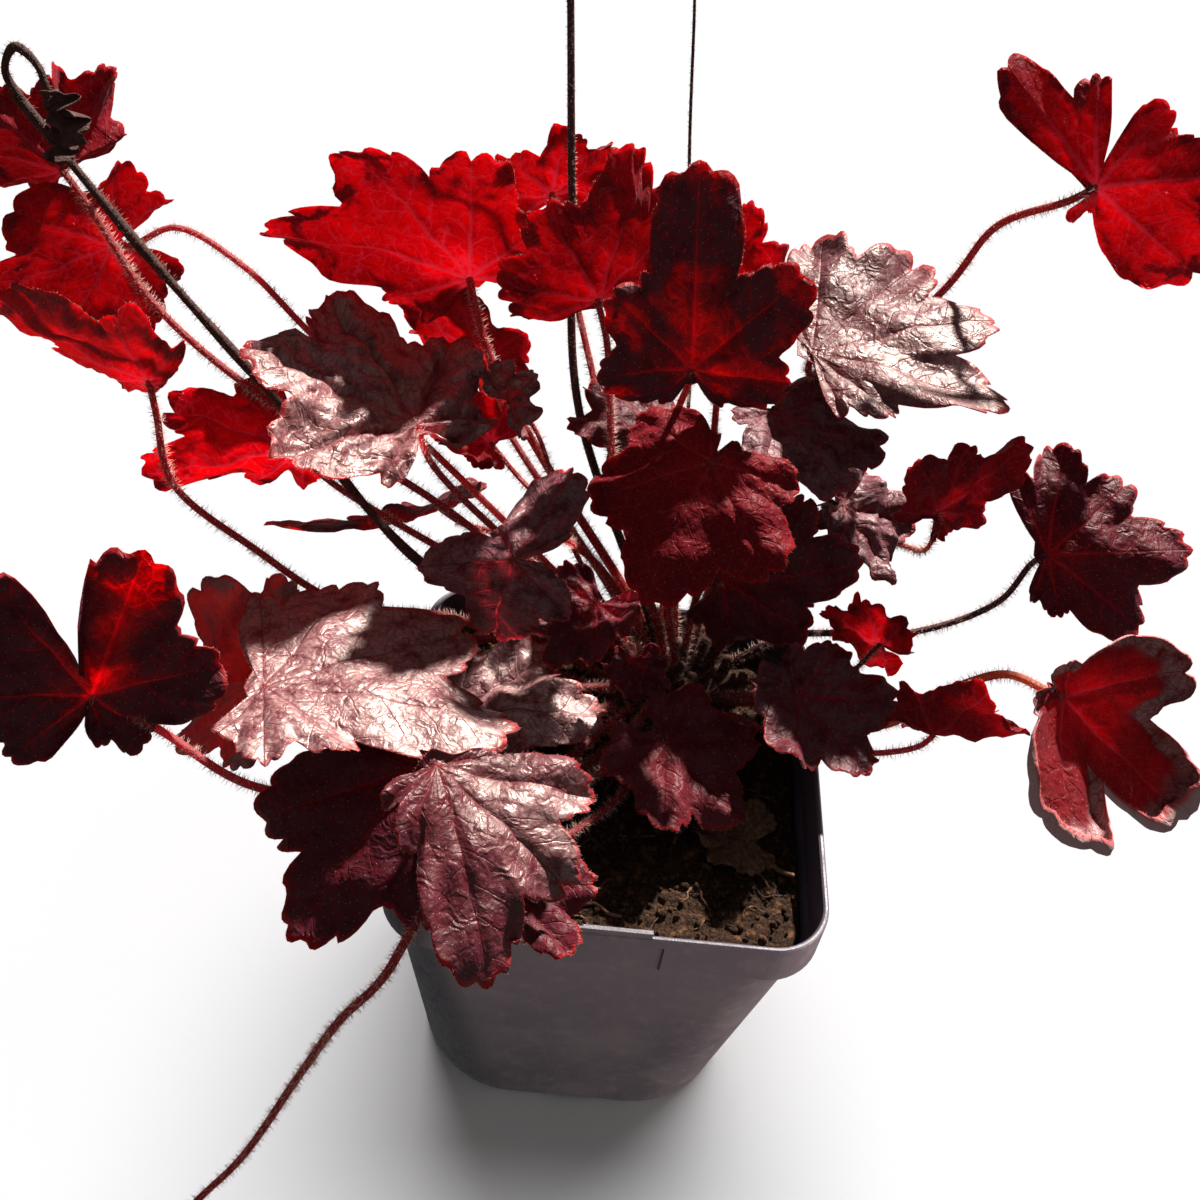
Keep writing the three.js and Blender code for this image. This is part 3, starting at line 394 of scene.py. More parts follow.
def add_ball(parts, centre, radii, rough, around, high):
    """A lumpy closed ball; radii are its half lengths."""
    lat = np.linspace(-math.pi / 2, math.pi / 2, high + 2)[1:-1]
    lon = TAU * np.arange(around) / around
    rows = [(math.cos(a) * math.cos(o), math.cos(a) * math.sin(o), math.sin(a)) for a in lat for o in lon]
    unitary = np.array([*rows, (0, 0, -1), (0, 0, 1)])
    size = 1 + rough * parts.rng.standard_normal((len(unitary), 1))
    values = np.zeros((len(unitary), VALUES))
    values[:, FLAT:FLAT + 3] = unitary
    points = np.asarray(centre) + unitary * size * np.asarray(radii)
    parts.add(points, skin_faces(high, around), 0, values)


# ---------------------------------------------------------------- blades

BLADE_THICKNESS = 0.45
ROLL_START = 0.74
LOBE_SPAN = 36.0
BRANCH_SPACING = 0.15
BRANCH_SLOPE = 0.8
NORMAL_STEP = 0.4


def blade_radius(phi, leaf):
    lengths = leaf.lobes
    radius = np.zeros_like(phi)
    for at, half, which, basal in LOBES:
        t = np.abs(phi - at) / half
        length = lengths[which] * (leaf.base if basal else 1)
        radius = np.where(t < 2.2, np.maximum(radius, length * (1 - SINUS * t**2)), radius)
    for at, depth, half in leaf.clefts:
        radius = radius * (1 - depth * np.maximum(0, 1 - np.abs(phi - at) / half))
    # Teeth of uneven width, rounded, with a nick between each two.
    step = phi / TOOTH_STEP + 0.22 * np.sin(np.radians(3.3 * phi)) * np.cos(np.radians(phi / 2))
    off_tip = 2 * np.abs(step - np.round(step))
    depth = TOOTH * (0.75 + 0.45 * np.sin(2.7 * np.round(step)))
    radius = radius * (1 - depth * off_tip**TOOTH_ROUND)
    base = np.sqrt(np.minimum(1, (180 - np.abs(phi)) / 12))
    return np.maximum(radius * base, 0.08)


def blade_frame(leaf):
    tip, face = unit(leaf.tip), unit(leaf.face)
    face = unit(face - tip * face.dot(tip))
    return tip, face, np.cross(face, tip)


def blade_surface(leaf, u, v, extra):
    """Points of the bent blade at the flat places u, v, raised by extra."""
    tip, face, left = blade_frame(leaf)
    size = leaf.size
    fold = math.radians(leaf.fold)
    reach = np.hypot(u, v) / size
    wave = leaf.wave * reach**2 * np.cos(np.arctan2(v, u) * 360 / LOBE_TURN)
    rise = np.abs(v) * math.sin(fold) + wave + leaf.cup * reach**2 + extra
    bend = math.radians(leaf.droop or 0.01) / size
    along = np.sin(bend * u) / bend + rise * np.sin(bend * u)
    up = (np.cos(bend * u) - 1) / bend + rise * np.cos(bend * u)
    return (np.array(leaf.hub, float) + along[:, None] * tip
            + (v * math.cos(fold))[:, None] * left + up[:, None] * face)


def lobe_places(u, v, leaf):
    """For flat places: how far along the nearest main vein, how far beside it, and how near the
    line halfway to the next one (1 on the vein, 0 on that line)."""
    spread = leaf.spread
    phi = np.degrees(np.arctan2(v, u)) / spread
    centres = np.array([lobe[0] for lobe in LOBES], float)
    gaps = np.abs(phi[:, None] - centres)
    nearest = np.argsort(gaps, axis=1)[:, 0]
    g0, g1 = np.sort(gaps, axis=1)[:, :2].T
    inner = np.clip((g1 - g0) / np.maximum(g1 + g0, 1e-6), 0, 1)
    turn = np.radians(centres[nearest] * spread)
    s = u * np.cos(turn) + v * np.sin(turn)
    t = -u * np.sin(turn) + v * np.cos(turn)
    return s, t, inner


def smoothstep(x, low, high):
    t = np.clip((x - low) / (high - low), 0, 1)
    return t * t * (3 - 2 * t)


def branch_distance(s, t, size):
    """Distance, beside the size, to the nearest side vein of the lobe."""
    q = (s / size - BRANCH_SLOPE * np.abs(t) / size) / BRANCH_SPACING + 0.25 * np.sign(t)
    return np.abs(q - np.round(q)) * BRANCH_SPACING


def relief(leaf, u, v, share, phi, rng):
    """How far the lamina stands off the plain bent blade: bulges between veins, a ruffled margin,
    broad unevenness."""
    size = leaf.size
    s, t, inner = lobe_places(u, v, leaf)
    main = np.exp(-(np.abs(t) / 1.6) ** 2)
    side = np.exp(-(branch_distance(s, t, size) * size / 1.2) ** 2) * np.minimum(1, inner * 3)
    grow = smoothstep(share, 0.03, 0.35)
    height = leaf.pucker * grow * (0.5 - 0.9 * main - 0.45 * side)
    a, b, c, d = TAU * rng.random(4)
    k = TAU / size
    broad = (np.sin(1.3 * k * u + a) * np.sin(1.6 * k * v + b)
             + 0.6 * np.sin(2.9 * k * u + 1.7 * k * v + c))
    height = height + leaf.uneven * 1.1 * grow * broad
    ruffle = leaf.ruffle * smoothstep(share, 0.55, 1.0)
    radians = np.radians(phi)
    height = height + ruffle * (1.3 * np.sin(7 * radians + d) + 1.0 * np.sin(12 * radians + 2 * a))
    height = height + leaf.lip * smoothstep(share, 0.6, 1.0) ** 2
    return height, (s, t, inner)


def rolled(leaf, u, v, share):
    """Flat places and rise of a blade whose margin rolls up and over, by the roll's radius."""
    radius = leaf.roll
    reach = np.hypot(u, v)
    edge = reach / np.maximum(share, 1e-6)
    turn = np.maximum(reach - edge * ROLL_START, 0) / radius
    keep = np.minimum(reach, edge * ROLL_START) + radius * np.sin(turn)
    shrink = keep / np.maximum(reach, 1e-6)
    return u * shrink, v * shrink, radius * (1 - np.cos(turn))


def grid_normals(points, spokes):
    """Normals of a hub and the rings round it."""
    rings = points[1:].reshape(-1, spokes, 3)
    inner = np.concatenate([np.broadcast_to(points[0], (1, spokes, 3)), rings[:-1]])
    outer = np.concatenate([rings[1:], rings[-1:]])
    around = np.roll(rings, -1, axis=1) - np.roll(rings, 1, axis=1)
    normal = np.cross(outer - inner, around).reshape(-1, 3)
    return units(np.concatenate([[normal[:spokes].mean(axis=0)], normal]))


def add_blade(parts, leaf):
    """A blade of two faces and its edge. Gives the margin's places, the way out of the blade there
    and its normals, for the fringe of hairs."""
    rng = seeded(parts.seed + "_blade")
    size = leaf.size
    spokes = 160 if size > 30 else 120
    rings = 30 if leaf.roll else 18 if size > 40 else 13
    phi = (np.arange(spokes) + 1) * 360 / spokes - 180
    shares = (np.arange(1, rings + 1) / rings) ** 0.85
    turn = np.radians(np.where(phi == 180, 180, phi * leaf.spread))
    r = (shares[:, None] * (blade_radius(phi, leaf) * size)[None]).ravel()
    a = np.tile(turn, rings)
    u = np.concatenate([[0], r * np.cos(a)])
    v = np.concatenate([[0], r * np.sin(a)])
    share = np.concatenate([[0], np.repeat(shares, spokes)])
    around = np.concatenate([[0], np.tile(phi, rings)])
    state = rng.bit_generator.state

    def place(uu, vv):
        rng.bit_generator.state = state
        extra, where = relief(leaf, uu, vv, share, around, rng)
        if leaf.roll:
            uu, vv, lift = rolled(leaf, uu, vv, share)
            extra = extra + lift
        return blade_surface(leaf, uu, vv, extra), where

    middle, (s, t, inner) = place(u, v)
    if leaf.roll:
        normal = grid_normals(middle, spokes)
    else:
        du = place(u + NORMAL_STEP, v)[0] - place(u - NORMAL_STEP, v)[0]
        dv = place(u, v + NORMAL_STEP)[0] - place(u, v - NORMAL_STEP)[0]
        normal = units(np.cross(du, dv))
    rib = np.exp(-(np.abs(t) / 0.9) ** 2) * (1 - 0.8 * share) * smoothstep(share, 0.0, 0.08)
    half = BLADE_THICKNESS / 2 * (1 - 0.5 * share**4)
    top = middle + normal * half[:, None]
    bottom = middle - normal * (half + 0.7 * rib)[:, None]
    n = len(u)
    j = np.arange(spokes)
    k = (j + 1) % spokes
    fan = np.stack([np.zeros(spokes, int), 1 + j, 1 + k], 1)
    i, jj = np.meshgrid(1 + spokes * np.arange(rings - 1), j, indexing="ij")
    kk = (jj + 1) % spokes
    quads = np.stack([i + jj, i + spokes + jj, i + spokes + kk, i + kk], -1).reshape(-1, 4)
    rim = 1 + (rings - 1) * spokes
    sides = np.stack([rim + j, n + rim + j, n + rim + k, rim + k], 1)
    faces = [fan, n + fan[:, ::-1], quads, n + quads[:, ::-1], sides]
    # Painted sunlight: more silver on the lobe at the given angle.
    painted_lit_mask = np.exp(-((around - leaf.silver_at) / LOBE_SPAN) ** 2)
    opened = np.exp(-(around / LOBE_SPAN) ** 2)
    silver = (leaf.silver + leaf.silver_lobe * painted_lit_mask
              + leaf.pale_edge * smoothstep(share, 0.66, 0.78))
    openness = leaf.open + leaf.open_lobe * opened
    one = np.ones(n)
    values = [s / size, t / size, inner, one, share, 0 * one, u / 10, v / 10, one * size / 50,
              one * leaf.tint, silver, openness]
    values = np.tile(np.stack(values, 1), (2, 1))
    values[n:, BLADE] = 0.0
    parts.add(np.concatenate([top, bottom]), faces, 0, values)
    margin = middle[rim:]
    return margin, units(margin - middle[rim - spokes:rim]), normal[rim:]


def fringe(parts, margin, outward, normal, kind, density=1.8, length=0.9):
    """Short hairs all round the margin of a blade."""
    rng = parts.rng
    spans = np.roll(margin, -1, axis=0) - margin
    lengths = np.linalg.norm(spans, axis=1)
    total = np.concatenate([[0], np.cumsum(lengths)])
    at = np.sort(rng.random(int(total[-1] * density))) * total[-1]
    i = np.clip(np.searchsorted(total, at) - 1, 0, len(margin) - 1)
    share = (at - total[i]) / lengths[i]
    roots = margin[i] + spans[i] * share[:, None] - 0.1 * outward[i]
    ways = outward[i] + 0.5 * rng.standard_normal((len(at), 3)) + 0.4 * normal[i]
    add_hairs(parts, roots, ways, length * rng.uniform(0.4, 1.2, len(at)), 0.04, kind)


# ---------------------------------------------------------------- stems


def petiole_points(leaf):
    tip, face, _ = blade_frame(leaf)
    hub = np.array(leaf.hub, float)
    via = [np.array(p, float) for p in leaf.via]
    last = via[-1] if via else np.array([CROWN.x, CROWN.y, CROWN.edge], float)
    way = hub - last
    length = np.linalg.norm(way)
    arrive = unit(NECK.way * way / length + NECK.face * face + NECK.tip * tip)
    return [*via, hub - arrive * min(NECK.length, length * NECK.share), hub]


def crown_height(distance):
    return CROWN.edge + CROWN.rise * (1 - (distance / CROWN.radius) ** 2)


def crown_feet(aims):
    """Where each stem stands in the crown: on the side of its aim, and clear of the others."""
    reach = CROWN.radius - FEET.edge
    feet = []
    for aim in aims:
        away = np.asarray(aim, float) - (CROWN.x, CROWN.y, CROWN.edge)
        feet.append(away[:2] * reach / np.linalg.norm(away))
    for _ in range(FEET.rounds):
        for i, p in enumerate(feet):
            for q in feet[i + 1:]:
                apart = q - p
                gap = np.linalg.norm(apart)
                short = FEET.spacing - gap
                if short > 0:
                    apart *= short / 2 / gap
                    p -= apart
                    q += apart
        for p in feet:
            far = np.linalg.norm(p)
            if far > reach:
                p *= reach / far
    return feet


def rooted_path(foot, points):
    ground = np.array([CROWN.x + foot[0], CROWN.y + foot[1], crown_height(np.linalg.norm(foot))])
    lean = unit([foot[0], foot[1], FEET.upright])
    return [ground - lean * SINK, ground + lean * FEET.straight, *points]


# ---------------------------------------------------------------- materials


def wire_math(operation, swapped=False):
    """A method of Wire that adds a math node."""

    def apply(wire, other=0.0):
        first, second = (other, wire) if swapped else (wire, other)
        return wire.shader.math(operation, first, second)

    return apply


class Wire:
    """A value on its way through a shader: arithmetic on it adds math nodes."""

    __add__ = wire_math("ADD")
    __sub__ = wire_math("SUBTRACT")
    __rsub__ = wire_math("SUBTRACT", swapped=True)
    __mul__ = wire_math("MULTIPLY")
    __truediv__ = wire_math("DIVIDE")
    __abs__ = wire_math("ABSOLUTE")
    __round__ = wire_math("ROUND")

    def __init__(self, shader, socket):
        self.shader = shader
        self.socket = socket

    def __getitem__(self, key):
        """Another output of the same node."""
        return Wire(self.shader, self.socket.node.outputs[key])

    def clamped(self):
        self.socket.node.use_clamp = True
        return self


class Shader:
    """A material built from procedural nodes."""

    def __init__(self, name, dimensions="3D"):
        self.dimensions = dimensions
        self.material = bpy.data.materials.new(name)
        self.material.use_nodes = True
        self.tree = self.material.node_tree
        self.tree.nodes.clear()

    def node(self, kind, inputs, **settings):
        """Adds a node. Its inputs are wires, numbers or colours; what it gives is its first output."""
        made = self.tree.nodes.new("ShaderNode" + kind)
        for key, value in settings.items():
            setattr(made, key, value)
        for key, value in inputs.items():
            socket = made.inputs[key]
            if isinstance(value, Wire):
                self.tree.links.new(value.socket, socket)
            elif socket.type == "RGBA":
                socket.default_value = (*value, 1)
            else:
                socket.default_value = value
        return Wire(self, made.outputs[0]) if made.outputs else None

    def math(self, operation, a, b=0.0, c=0.0):
        return self.node("Math", {0: a, 1: b, 2: c}, operation=operation)

    def most(self, a, b):
        return self.math("MAXIMUM", a, b)

    def multiply_add(self, a, b, c):
        return self.math("MULTIPLY_ADD", a, b, c)

    def ramp(self, x, low, high, to_low=0.0, to_high=1.0):
        return self.node("MapRange", {"Value": x, "From Min": low, "From Max": high, "To Min": to_low,
                                      "To Max": to_high}, interpolation_type="SMOOTHSTEP")

    def paint(self, colour, *coats):
        """A colour with coats laid over it, each by its own share."""
        for share, coat in coats:
            colour = self.node("Mix", {0: share, 6: colour, 7: coat}, data_type="RGBA")[2]
        return colour

    def attribute(self, name):
        return self.node("Attribute", {}, attribute_name=name)["Vector"]

    def split(self, vector):
        x = self.node("SeparateXYZ", {0: vector})
        return x, x[1], x[2]

    def vector(self, operation, a, b):
        return self.node("VectorMath", {0: a, 1: b}, operation=operation)

    def place(self):
        """Object coordinates in millimetres."""
        coordinates = self.node("TexCoord", {})["Object"]
        return self.node("VectorMath", {0: coordinates, "Scale": 1 / MM}, operation="SCALE")

    def noise(self, vector, scale, detail=3.0, roughness=0.55, distortion=0.0):
        return self.node("TexNoise", {"Vector": vector, "Scale": scale, "Detail": detail,
                                      "Roughness": roughness, "Distortion": distortion},
                         noise_dimensions=self.dimensions)

    def cells(self, vector, scale, feature="F1"):
        return self.node("TexVoronoi", {"Vector": vector, "Scale": scale}, feature=feature,
                         voronoi_dimensions=self.dimensions)["Distance"]

    def bump(self, height, distance, strength):
        return self.node("Bump", {"Height": height, "Distance": distance * MM, "Strength": strength})

    def finish(self, skin, through=None, lit=None):
        """Ends the material in its skin and, by the share through, light from behind coloured lit."""
        surface = self.node("BsdfPrincipled", skin)
        if lit is not None:
            normal = {key: skin[key] for key in skin if key == "Normal"}
            light = self.node("BsdfTranslucent", {"Color": lit, **normal})
            surface = self.node("MixShader", {0: through, 1: surface, 2: light})
        self.node("OutputMaterial", {"Surface": surface})
        return self.material


def leaf_shader(name, upper, upper_patch, lower, lower_patch, vein, lit, lit_patch, lit_vein,
                through, vein_through, silver, silver_share, roughness, shine, index):
    """A blade: two faces of their own colours, blisters between sunken veins, a silver bloom on the
    upper face, and light that comes through it, through a dark leaf mostly at its veins."""
    m = Shader(name, "2D")
    along, beside, inner = m.split(m.attribute("lobe"))
    is_upper, share, _ = m.split(m.attribute("blade"))
    tint, bloom, openness = m.split(m.attribute("look"))
    laid = m.attribute("flat")
    scaled = m.split(laid)[2]
    size = scaled * 50
    flat = m.vector("ADD", laid, m.node("CombineXYZ", {0: scaled * 61, 1: scaled * 43}))
    # Main veins, side veins and a net of small ones.
    off = abs(beside)
    main = (1.0 - off * size / m.ramp(share, 0.0, 1.0, 1.1, 0.3)).clamped()
    wander = m.noise(flat, 1.1, 1.0) * 0.06
    q = (along - off * BRANCH_SLOPE + wander) / BRANCH_SPACING + m.math("SIGN", beside) * 0.25
    q = abs(q - round(q))
    branch = (1.0 - q * BRANCH_SPACING * size / m.ramp(share, 0.1, 1.0, 0.6, 0.25)).clamped()
    branch = branch * m.ramp(inner, 0.02, 0.3)
    sway = m.node("TexNoise", {"Vector": flat, "Scale": 1.5}, noise_dimensions="2D")[1]
    bent = m.vector("ADD", flat, sway)
    coarse_edge = m.cells(bent, 1.9, "DISTANCE_TO_EDGE")
    fine_edge = m.cells(bent, 4.6, "DISTANCE_TO_EDGE")
    big = m.most(main, branch * 0.8)
    small = m.most(m.ramp(coarse_edge, 0.0, 0.09, 1.0, 0.0) * 0.8,
                   m.ramp(fine_edge, 0.0, 0.14, 1.0, 0.0) * 0.4)
    veins = m.most(big, small)
    patches = m.ramp(m.noise(flat, 0.5, 3.0, 0.6), 0.36, 0.66)
    # Painted shadow: crisp-edged patches where the light from behind is cut back.
    painted_shadows = m.ramp(m.noise(flat, 0.42, 1.0), 0.46, 0.56)
    grain = m.noise(flat, 11.0, 2.0, 0.75)
    rim = m.ramp(share, 0.95, 0.995)
    # The silver bloom lies on the blisters of the upper face.
    cover = m.ramp(m.noise(flat, 1.4, 5.0, 0.72), 0.28, 0.58)
    cover = cover * (bloom + silver_share).clamped() * (1.0 - veins * 0.85)
    top = m.paint(upper, (patches, upper_patch), ((tint * 0.6).clamped(), (0.36, 0.016, 0.022)),
                  (big * 0.5, vein), (small * 0.35, vein), (cover, silver),
                  (m.ramp(grain, 0.42, 0.68) * 0.35, (0.05, 0.012, 0.012)))
    under = m.paint(lower, (patches, lower_patch), (veins * 0.55, (0.42, 0.05, 0.06)),
                    ((bloom * 0.8).clamped(), (0.66, 0.45, 0.44)))
    pores = m.ramp(m.cells(flat, 3.1), 0.0, 0.055, 0.8, 0.0)
    # Painted glow: the margin is painted bright red, as if lit through its thin edge.
    face = m.paint(under, (is_upper, top), (rim * 0.75, (0.5, 0.012, 0.018)), (pores, (0.8, 0.68, 0.6)))
    # Blisters rise on the upper face, and veins stand out below.
    side = m.multiply_add(is_upper, 2.0, -1.0)
    puffs = m.multiply_add(m.ramp(fine_edge, 0.0, 0.32), 0.2, m.ramp(coarse_edge, 0.0, 0.4))
    height = m.multiply_add(big, -0.7, puffs) * side
    height = m.multiply_add(m.noise(flat, 2.6, 4.0, 0.55), 1.0, height)
    height = m.multiply_add(grain, 0.5, height)
    skin = {"Base Color": face, "Normal": m.bump(height, 0.42, 0.62),
            "Roughness": m.ramp(m.noise(flat, 1.6, 4.0, 0.65), 0.3, 0.7, roughness - 0.08, roughness + 0.12),
            "Specular IOR Level": m.multiply_add(cover, 0.75, 0.25) * shine,
            "Specular Tint": (1.0, 0.88, 0.8), "IOR": index,
            "Sheen Weight": 0.06, "Sheen Roughness": 0.4, "Sheen Tint": (1.0, 0.7, 0.8)}
    # Light from behind: in crisp-edged patches of painted shadow it is cut back, as if other leaves shaded
    # the blade.
    glow = m.paint(lit, (patches, lit_patch), (big * 0.9, lit_vein), (small * 0.75, lit_vein))
    lamina = (openness * (1.0 - painted_shadows) + through).clamped()
    thinned = m.math("MINIMUM", openness, 0.0) + m.most(openness - 0.45, 0.0)
    lamina = m.multiply_add(thinned, painted_shadows, lamina) + m.ramp(share, 0.1, 0.55, 0.16, 0.0)
    at_veins = m.most(big, small * 0.6) * vein_through
    passing = m.multiply_add(rim, 0.25, m.most(m.most(lamina, 0.03), at_veins)).clamped()
    closed = m.ramp(share, 0.62, 0.92) * m.ramp(m.noise(flat, 0.8, 3.0), 0.5, 0.6)
    passing = passing * (1.0 - closed * 0.7) * (1.0 - (bloom * 0.85).clamped())
    return m.finish(skin, passing, glow)


def stem_shader(name, low, high, dark, gloss, through, backlit):
    """A fleshy stem, flushed along its length and ribbed."""
    m = Shader("stem_" + name)
    flat = m.attribute("flat")
    share = m.split(m.attribute("blade"))[1]
    streaks = m.noise(m.vector("MULTIPLY", flat, (0.35, 1.6, 1.0)), 3.0, 4.0, 0.6)
    spots = m.ramp(m.cells(flat, 9.0), 0.0, 0.35, 0.35, 0.0)
    colour = m.paint(low, (m.ramp(share, 0.0, 0.9), high), (m.ramp(streaks, 0.42, 0.66), dark),
                     (spots, (0.5, 0.2, 0.16)))
    normal = m.bump(m.multiply_add(streaks, 0.7, m.noise(flat, 14.0, 2.0)), 0.25, 0.7)
    return m.finish({"Base Color": colour, "Roughness": gloss, "Normal": normal}, through, backlit)


def hair_shader(name, root, tip):
    """Fine hairs that catch the light."""
    m = Shader(name)
    colour = m.paint(root, (m.ramp(m.noise(m.place(), 0.8, 2.0), 0.35, 0.65), tip))
    return m.finish({"Base Color": colour, "Roughness": 0.45, "Sheen Weight": 0.3}, 0.5, colour)


def dry_shader(name, brown, pale, through):
    """Dead leaf tissue: crumpled, brown, papery."""
    m = Shader(name)
    place = m.place()
    fibres = m.noise(place, 0.45, 5.0, 0.65, 0.8)
    cracks = m.ramp(m.cells(place, 0.6, "DISTANCE_TO_EDGE"), 0.0, 0.12, 0.55, 0.0)
    colour = m.paint(brown, (m.ramp(fibres, 0.35, 0.7), pale), (cracks, (0.06, 0.022, 0.012)))
    normal = m.bump(m.multiply_add(fibres, 1.0, m.noise(place, 2.2, 3.0)), 0.6, 0.9)
    return m.finish({"Base Color": colour, "Roughness": 0.7, "Normal": normal}, through, colour)


def wood_shader(name):
    m = Shader(name)
    place = m.place()
    bark = m.noise(place, 0.5, 6.0, 0.7, 0.4)
    colour = m.paint((0.03, 0.011, 0.008), (m.ramp(bark, 0.35, 0.65), (0.12, 0.045, 0.026)),
                     (m.ramp(m.noise(place, 1.7, 3.0), 0.55, 0.7, 0.0, 0.6), (0.24, 0.1, 0.06)))
    normal = m.bump(m.multiply_add(bark, 1.5, m.noise(place, 2.5, 3.0)), 0.9, 0.9)
    return m.finish({"Base Color": colour, "Roughness": 0.85, "Normal": normal})


def soil_shader(name):
    m = Shader(name)
    place = m.place()
    grains = m.noise(place, 1.3, 6.0, 0.75)
    colour = m.paint((0.008, 0.004, 0.0025), (m.ramp(grains, 0.38, 0.66), (0.09, 0.042, 0.022)),
                     (m.ramp(m.noise(place, 0.35, 4.0), 0.52, 0.7, 0.0, 0.6), (0.26, 0.12, 0.055)),
                     (m.ramp(m.cells(place, 1.1), 0.0, 0.12, 0.6, 0.0), (0.44, 0.28, 0.17)))
    normal = m.bump(m.multiply_add(m.cells(place, 0.55), -1.1, grains), 1.1, 1.0)
    return m.finish({"Base Color": colour, "Roughness": 0.95, "Normal": normal,
                     "Specular IOR Level": 0.2})


def pot_shader(name):
    """Thin formed plastic, scuffed and dusty, and darker low down as painted shade."""
    m = Shader(name)
    place = m.place()
    dust = m.ramp(m.noise(place, 0.16, 6.0, 0.7), 0.45, 0.75)
    cloud = m.ramp(m.noise(place, 0.03, 5.0, 0.6), 0.35, 0.7, 0.0, 0.5)
    specks = m.ramp(m.cells(place, 0.35), 0.0, 0.1, 0.7, 0.0)
    # Painted shade: the plastic darkens towards the foot of the pot.
    painted_shade_by_height = m.ramp(m.split(place)[2], 0.0, 120.0)
    colour = m.paint((0.034, 0.028, 0.043), (painted_shade_by_height, (0.092, 0.076, 0.104)), (cloud, (0.11, 0.092, 0.108)),
                     (dust * 0.3, (0.16, 0.135, 0.14)), (specks, (0.1, 0.065, 0.045)))
    scratches = m.noise(m.vector("MULTIPLY", place, (1.0, 1.0, 0.06)), 1.4, 4.0, 0.7)
    gloss = m.multiply_add(dust, 0.25, m.ramp(scratches, 0.3, 0.7, 0.3, 0.44))
    normal = m.bump(m.multiply_add(scratches, 0.5, m.noise(place, 3.0, 2.0)), 0.12, 0.5)
    return m.finish({"Base Color": colour, "Roughness": gloss, "Normal": normal,
                     "Specular IOR Level": 0.45})


LEAF_KINDS = {
    "dark": leaf_shader(
        "leaf_dark", upper=(0.06, 0.002, 0.011), upper_patch=(0.1, 0.002, 0.011),
        lower=(0.11, 0.003, 0.014), lower_patch=(0.06, 0.002, 0.016), vein=(0.26, 0.008, 0.024),
        lit=(0.62, 0.008, 0.02), lit_patch=(0.4, 0.005, 0.022), lit_vein=(0.98, 0.06, 0.08),
        through=0.12, vein_through=0.42, silver=(0.3, 0.15, 0.17), silver_share=0.12,
        roughness=0.48, shine=0.7, index=1.6),
    "glow": leaf_shader(
        "leaf_glow", upper=(0.15, 0.005, 0.012), upper_patch=(0.22, 0.006, 0.013),
        lower=(0.25, 0.006, 0.014), lower_patch=(0.14, 0.005, 0.016), vein=(0.42, 0.05, 0.06),
        lit=(0.86, 0.005, 0.025), lit_patch=(0.66, 0.004, 0.028), lit_vein=(0.8, 0.17, 0.24),
        through=0.52, vein_through=0.5, silver=(0.5, 0.3, 0.3), silver_share=0.05,
        roughness=0.45, shine=0.35, index=1.5),
    "pink": leaf_shader(
        "leaf_pink", upper=(0.07, 0.004, 0.014), upper_patch=(0.12, 0.006, 0.018),
        lower=(0.14, 0.006, 0.018), lower_patch=(0.09, 0.004, 0.018), vein=(0.2, 0.008, 0.024),
        lit=(0.7, 0.012, 0.03), lit_patch=(0.5, 0.008, 0.022), lit_vein=(0.9, 0.03, 0.05),
        through=0.13, vein_through=0.3, silver=(0.42, 0.2, 0.2), silver_share=0.75,
        roughness=0.46, shine=1.0, index=1.9),
}
# Each stem's colours low down, high up and in its streaks, gloss, and light that comes through it.
STEMS = {name: stem_shader(name, *look) for name, look in {
    "red": ((0.3, 0.035, 0.035), (0.5, 0.03, 0.045), (0.14, 0.014, 0.02), 0.42, 0.3, (0.85, 0.06, 0.07)),
    "dark": ((0.05, 0.012, 0.014), (0.08, 0.016, 0.018), (0.03, 0.008, 0.01), 0.4, 0.1, (0.3, 0.03, 0.03)),
    "pink": ((0.42, 0.09, 0.08), (0.62, 0.07, 0.1), (0.22, 0.03, 0.04), 0.42, 0.4, (0.95, 0.12, 0.15)),
    "orange": ((0.5, 0.13, 0.06), (0.66, 0.18, 0.1), (0.34, 0.07, 0.04), 0.42, 0.4, (0.98, 0.26, 0.12)),
}.items()}
PALE_HAIR = hair_shader("hair_pale", (0.75, 0.42, 0.36), (0.95, 0.75, 0.66))
BROWN_HAIR = hair_shader("hair_brown", (0.2, 0.075, 0.04), (0.42, 0.2, 0.13))
WITHERED = dry_shader("withered", (0.05, 0.013, 0.011), (0.16, 0.05, 0.036), 0.12)
DRY = dry_shader("dry", (0.16, 0.07, 0.035), (0.36, 0.2, 0.11), 0.25)
WOOD = wood_shader("crown_wood")
EARTH = soil_shader("soil")
PLASTIC = pot_shader("pot_plastic")

# ---------------------------------------------------------------- leaves

# A piece's kinds of material are its skin and its hairs; a leaf's are blade, stem and hairs.
STEM_KIND, LEAF_HAIR_KIND = 1, 2


def make_leaf(leaf, path, hairs=10.0, hair_length=2.4):
    name, tone, radius = leaf.name, leaf.tone, leaf.radius
    parts = Parts(name)
    margin = add_blade(parts, leaf)

    def radii(share):
        swell = 0.55 * radius * np.exp(-(share / 0.06) ** 2)
        return radius * (1.05 - 0.25 * share) + swell

    tube = add_tube(parts, path, radii, STEM_KIND, sides=10)
    hairs_on_tube(parts, tube, hairs, hair_length, LEAF_HAIR_KIND)
    fringe(parts, *margin, LEAF_HAIR_KIND)
    add_piece(parts, name, [LEAF_KINDS[tone], STEMS[leaf.stem], PALE_HAIR])


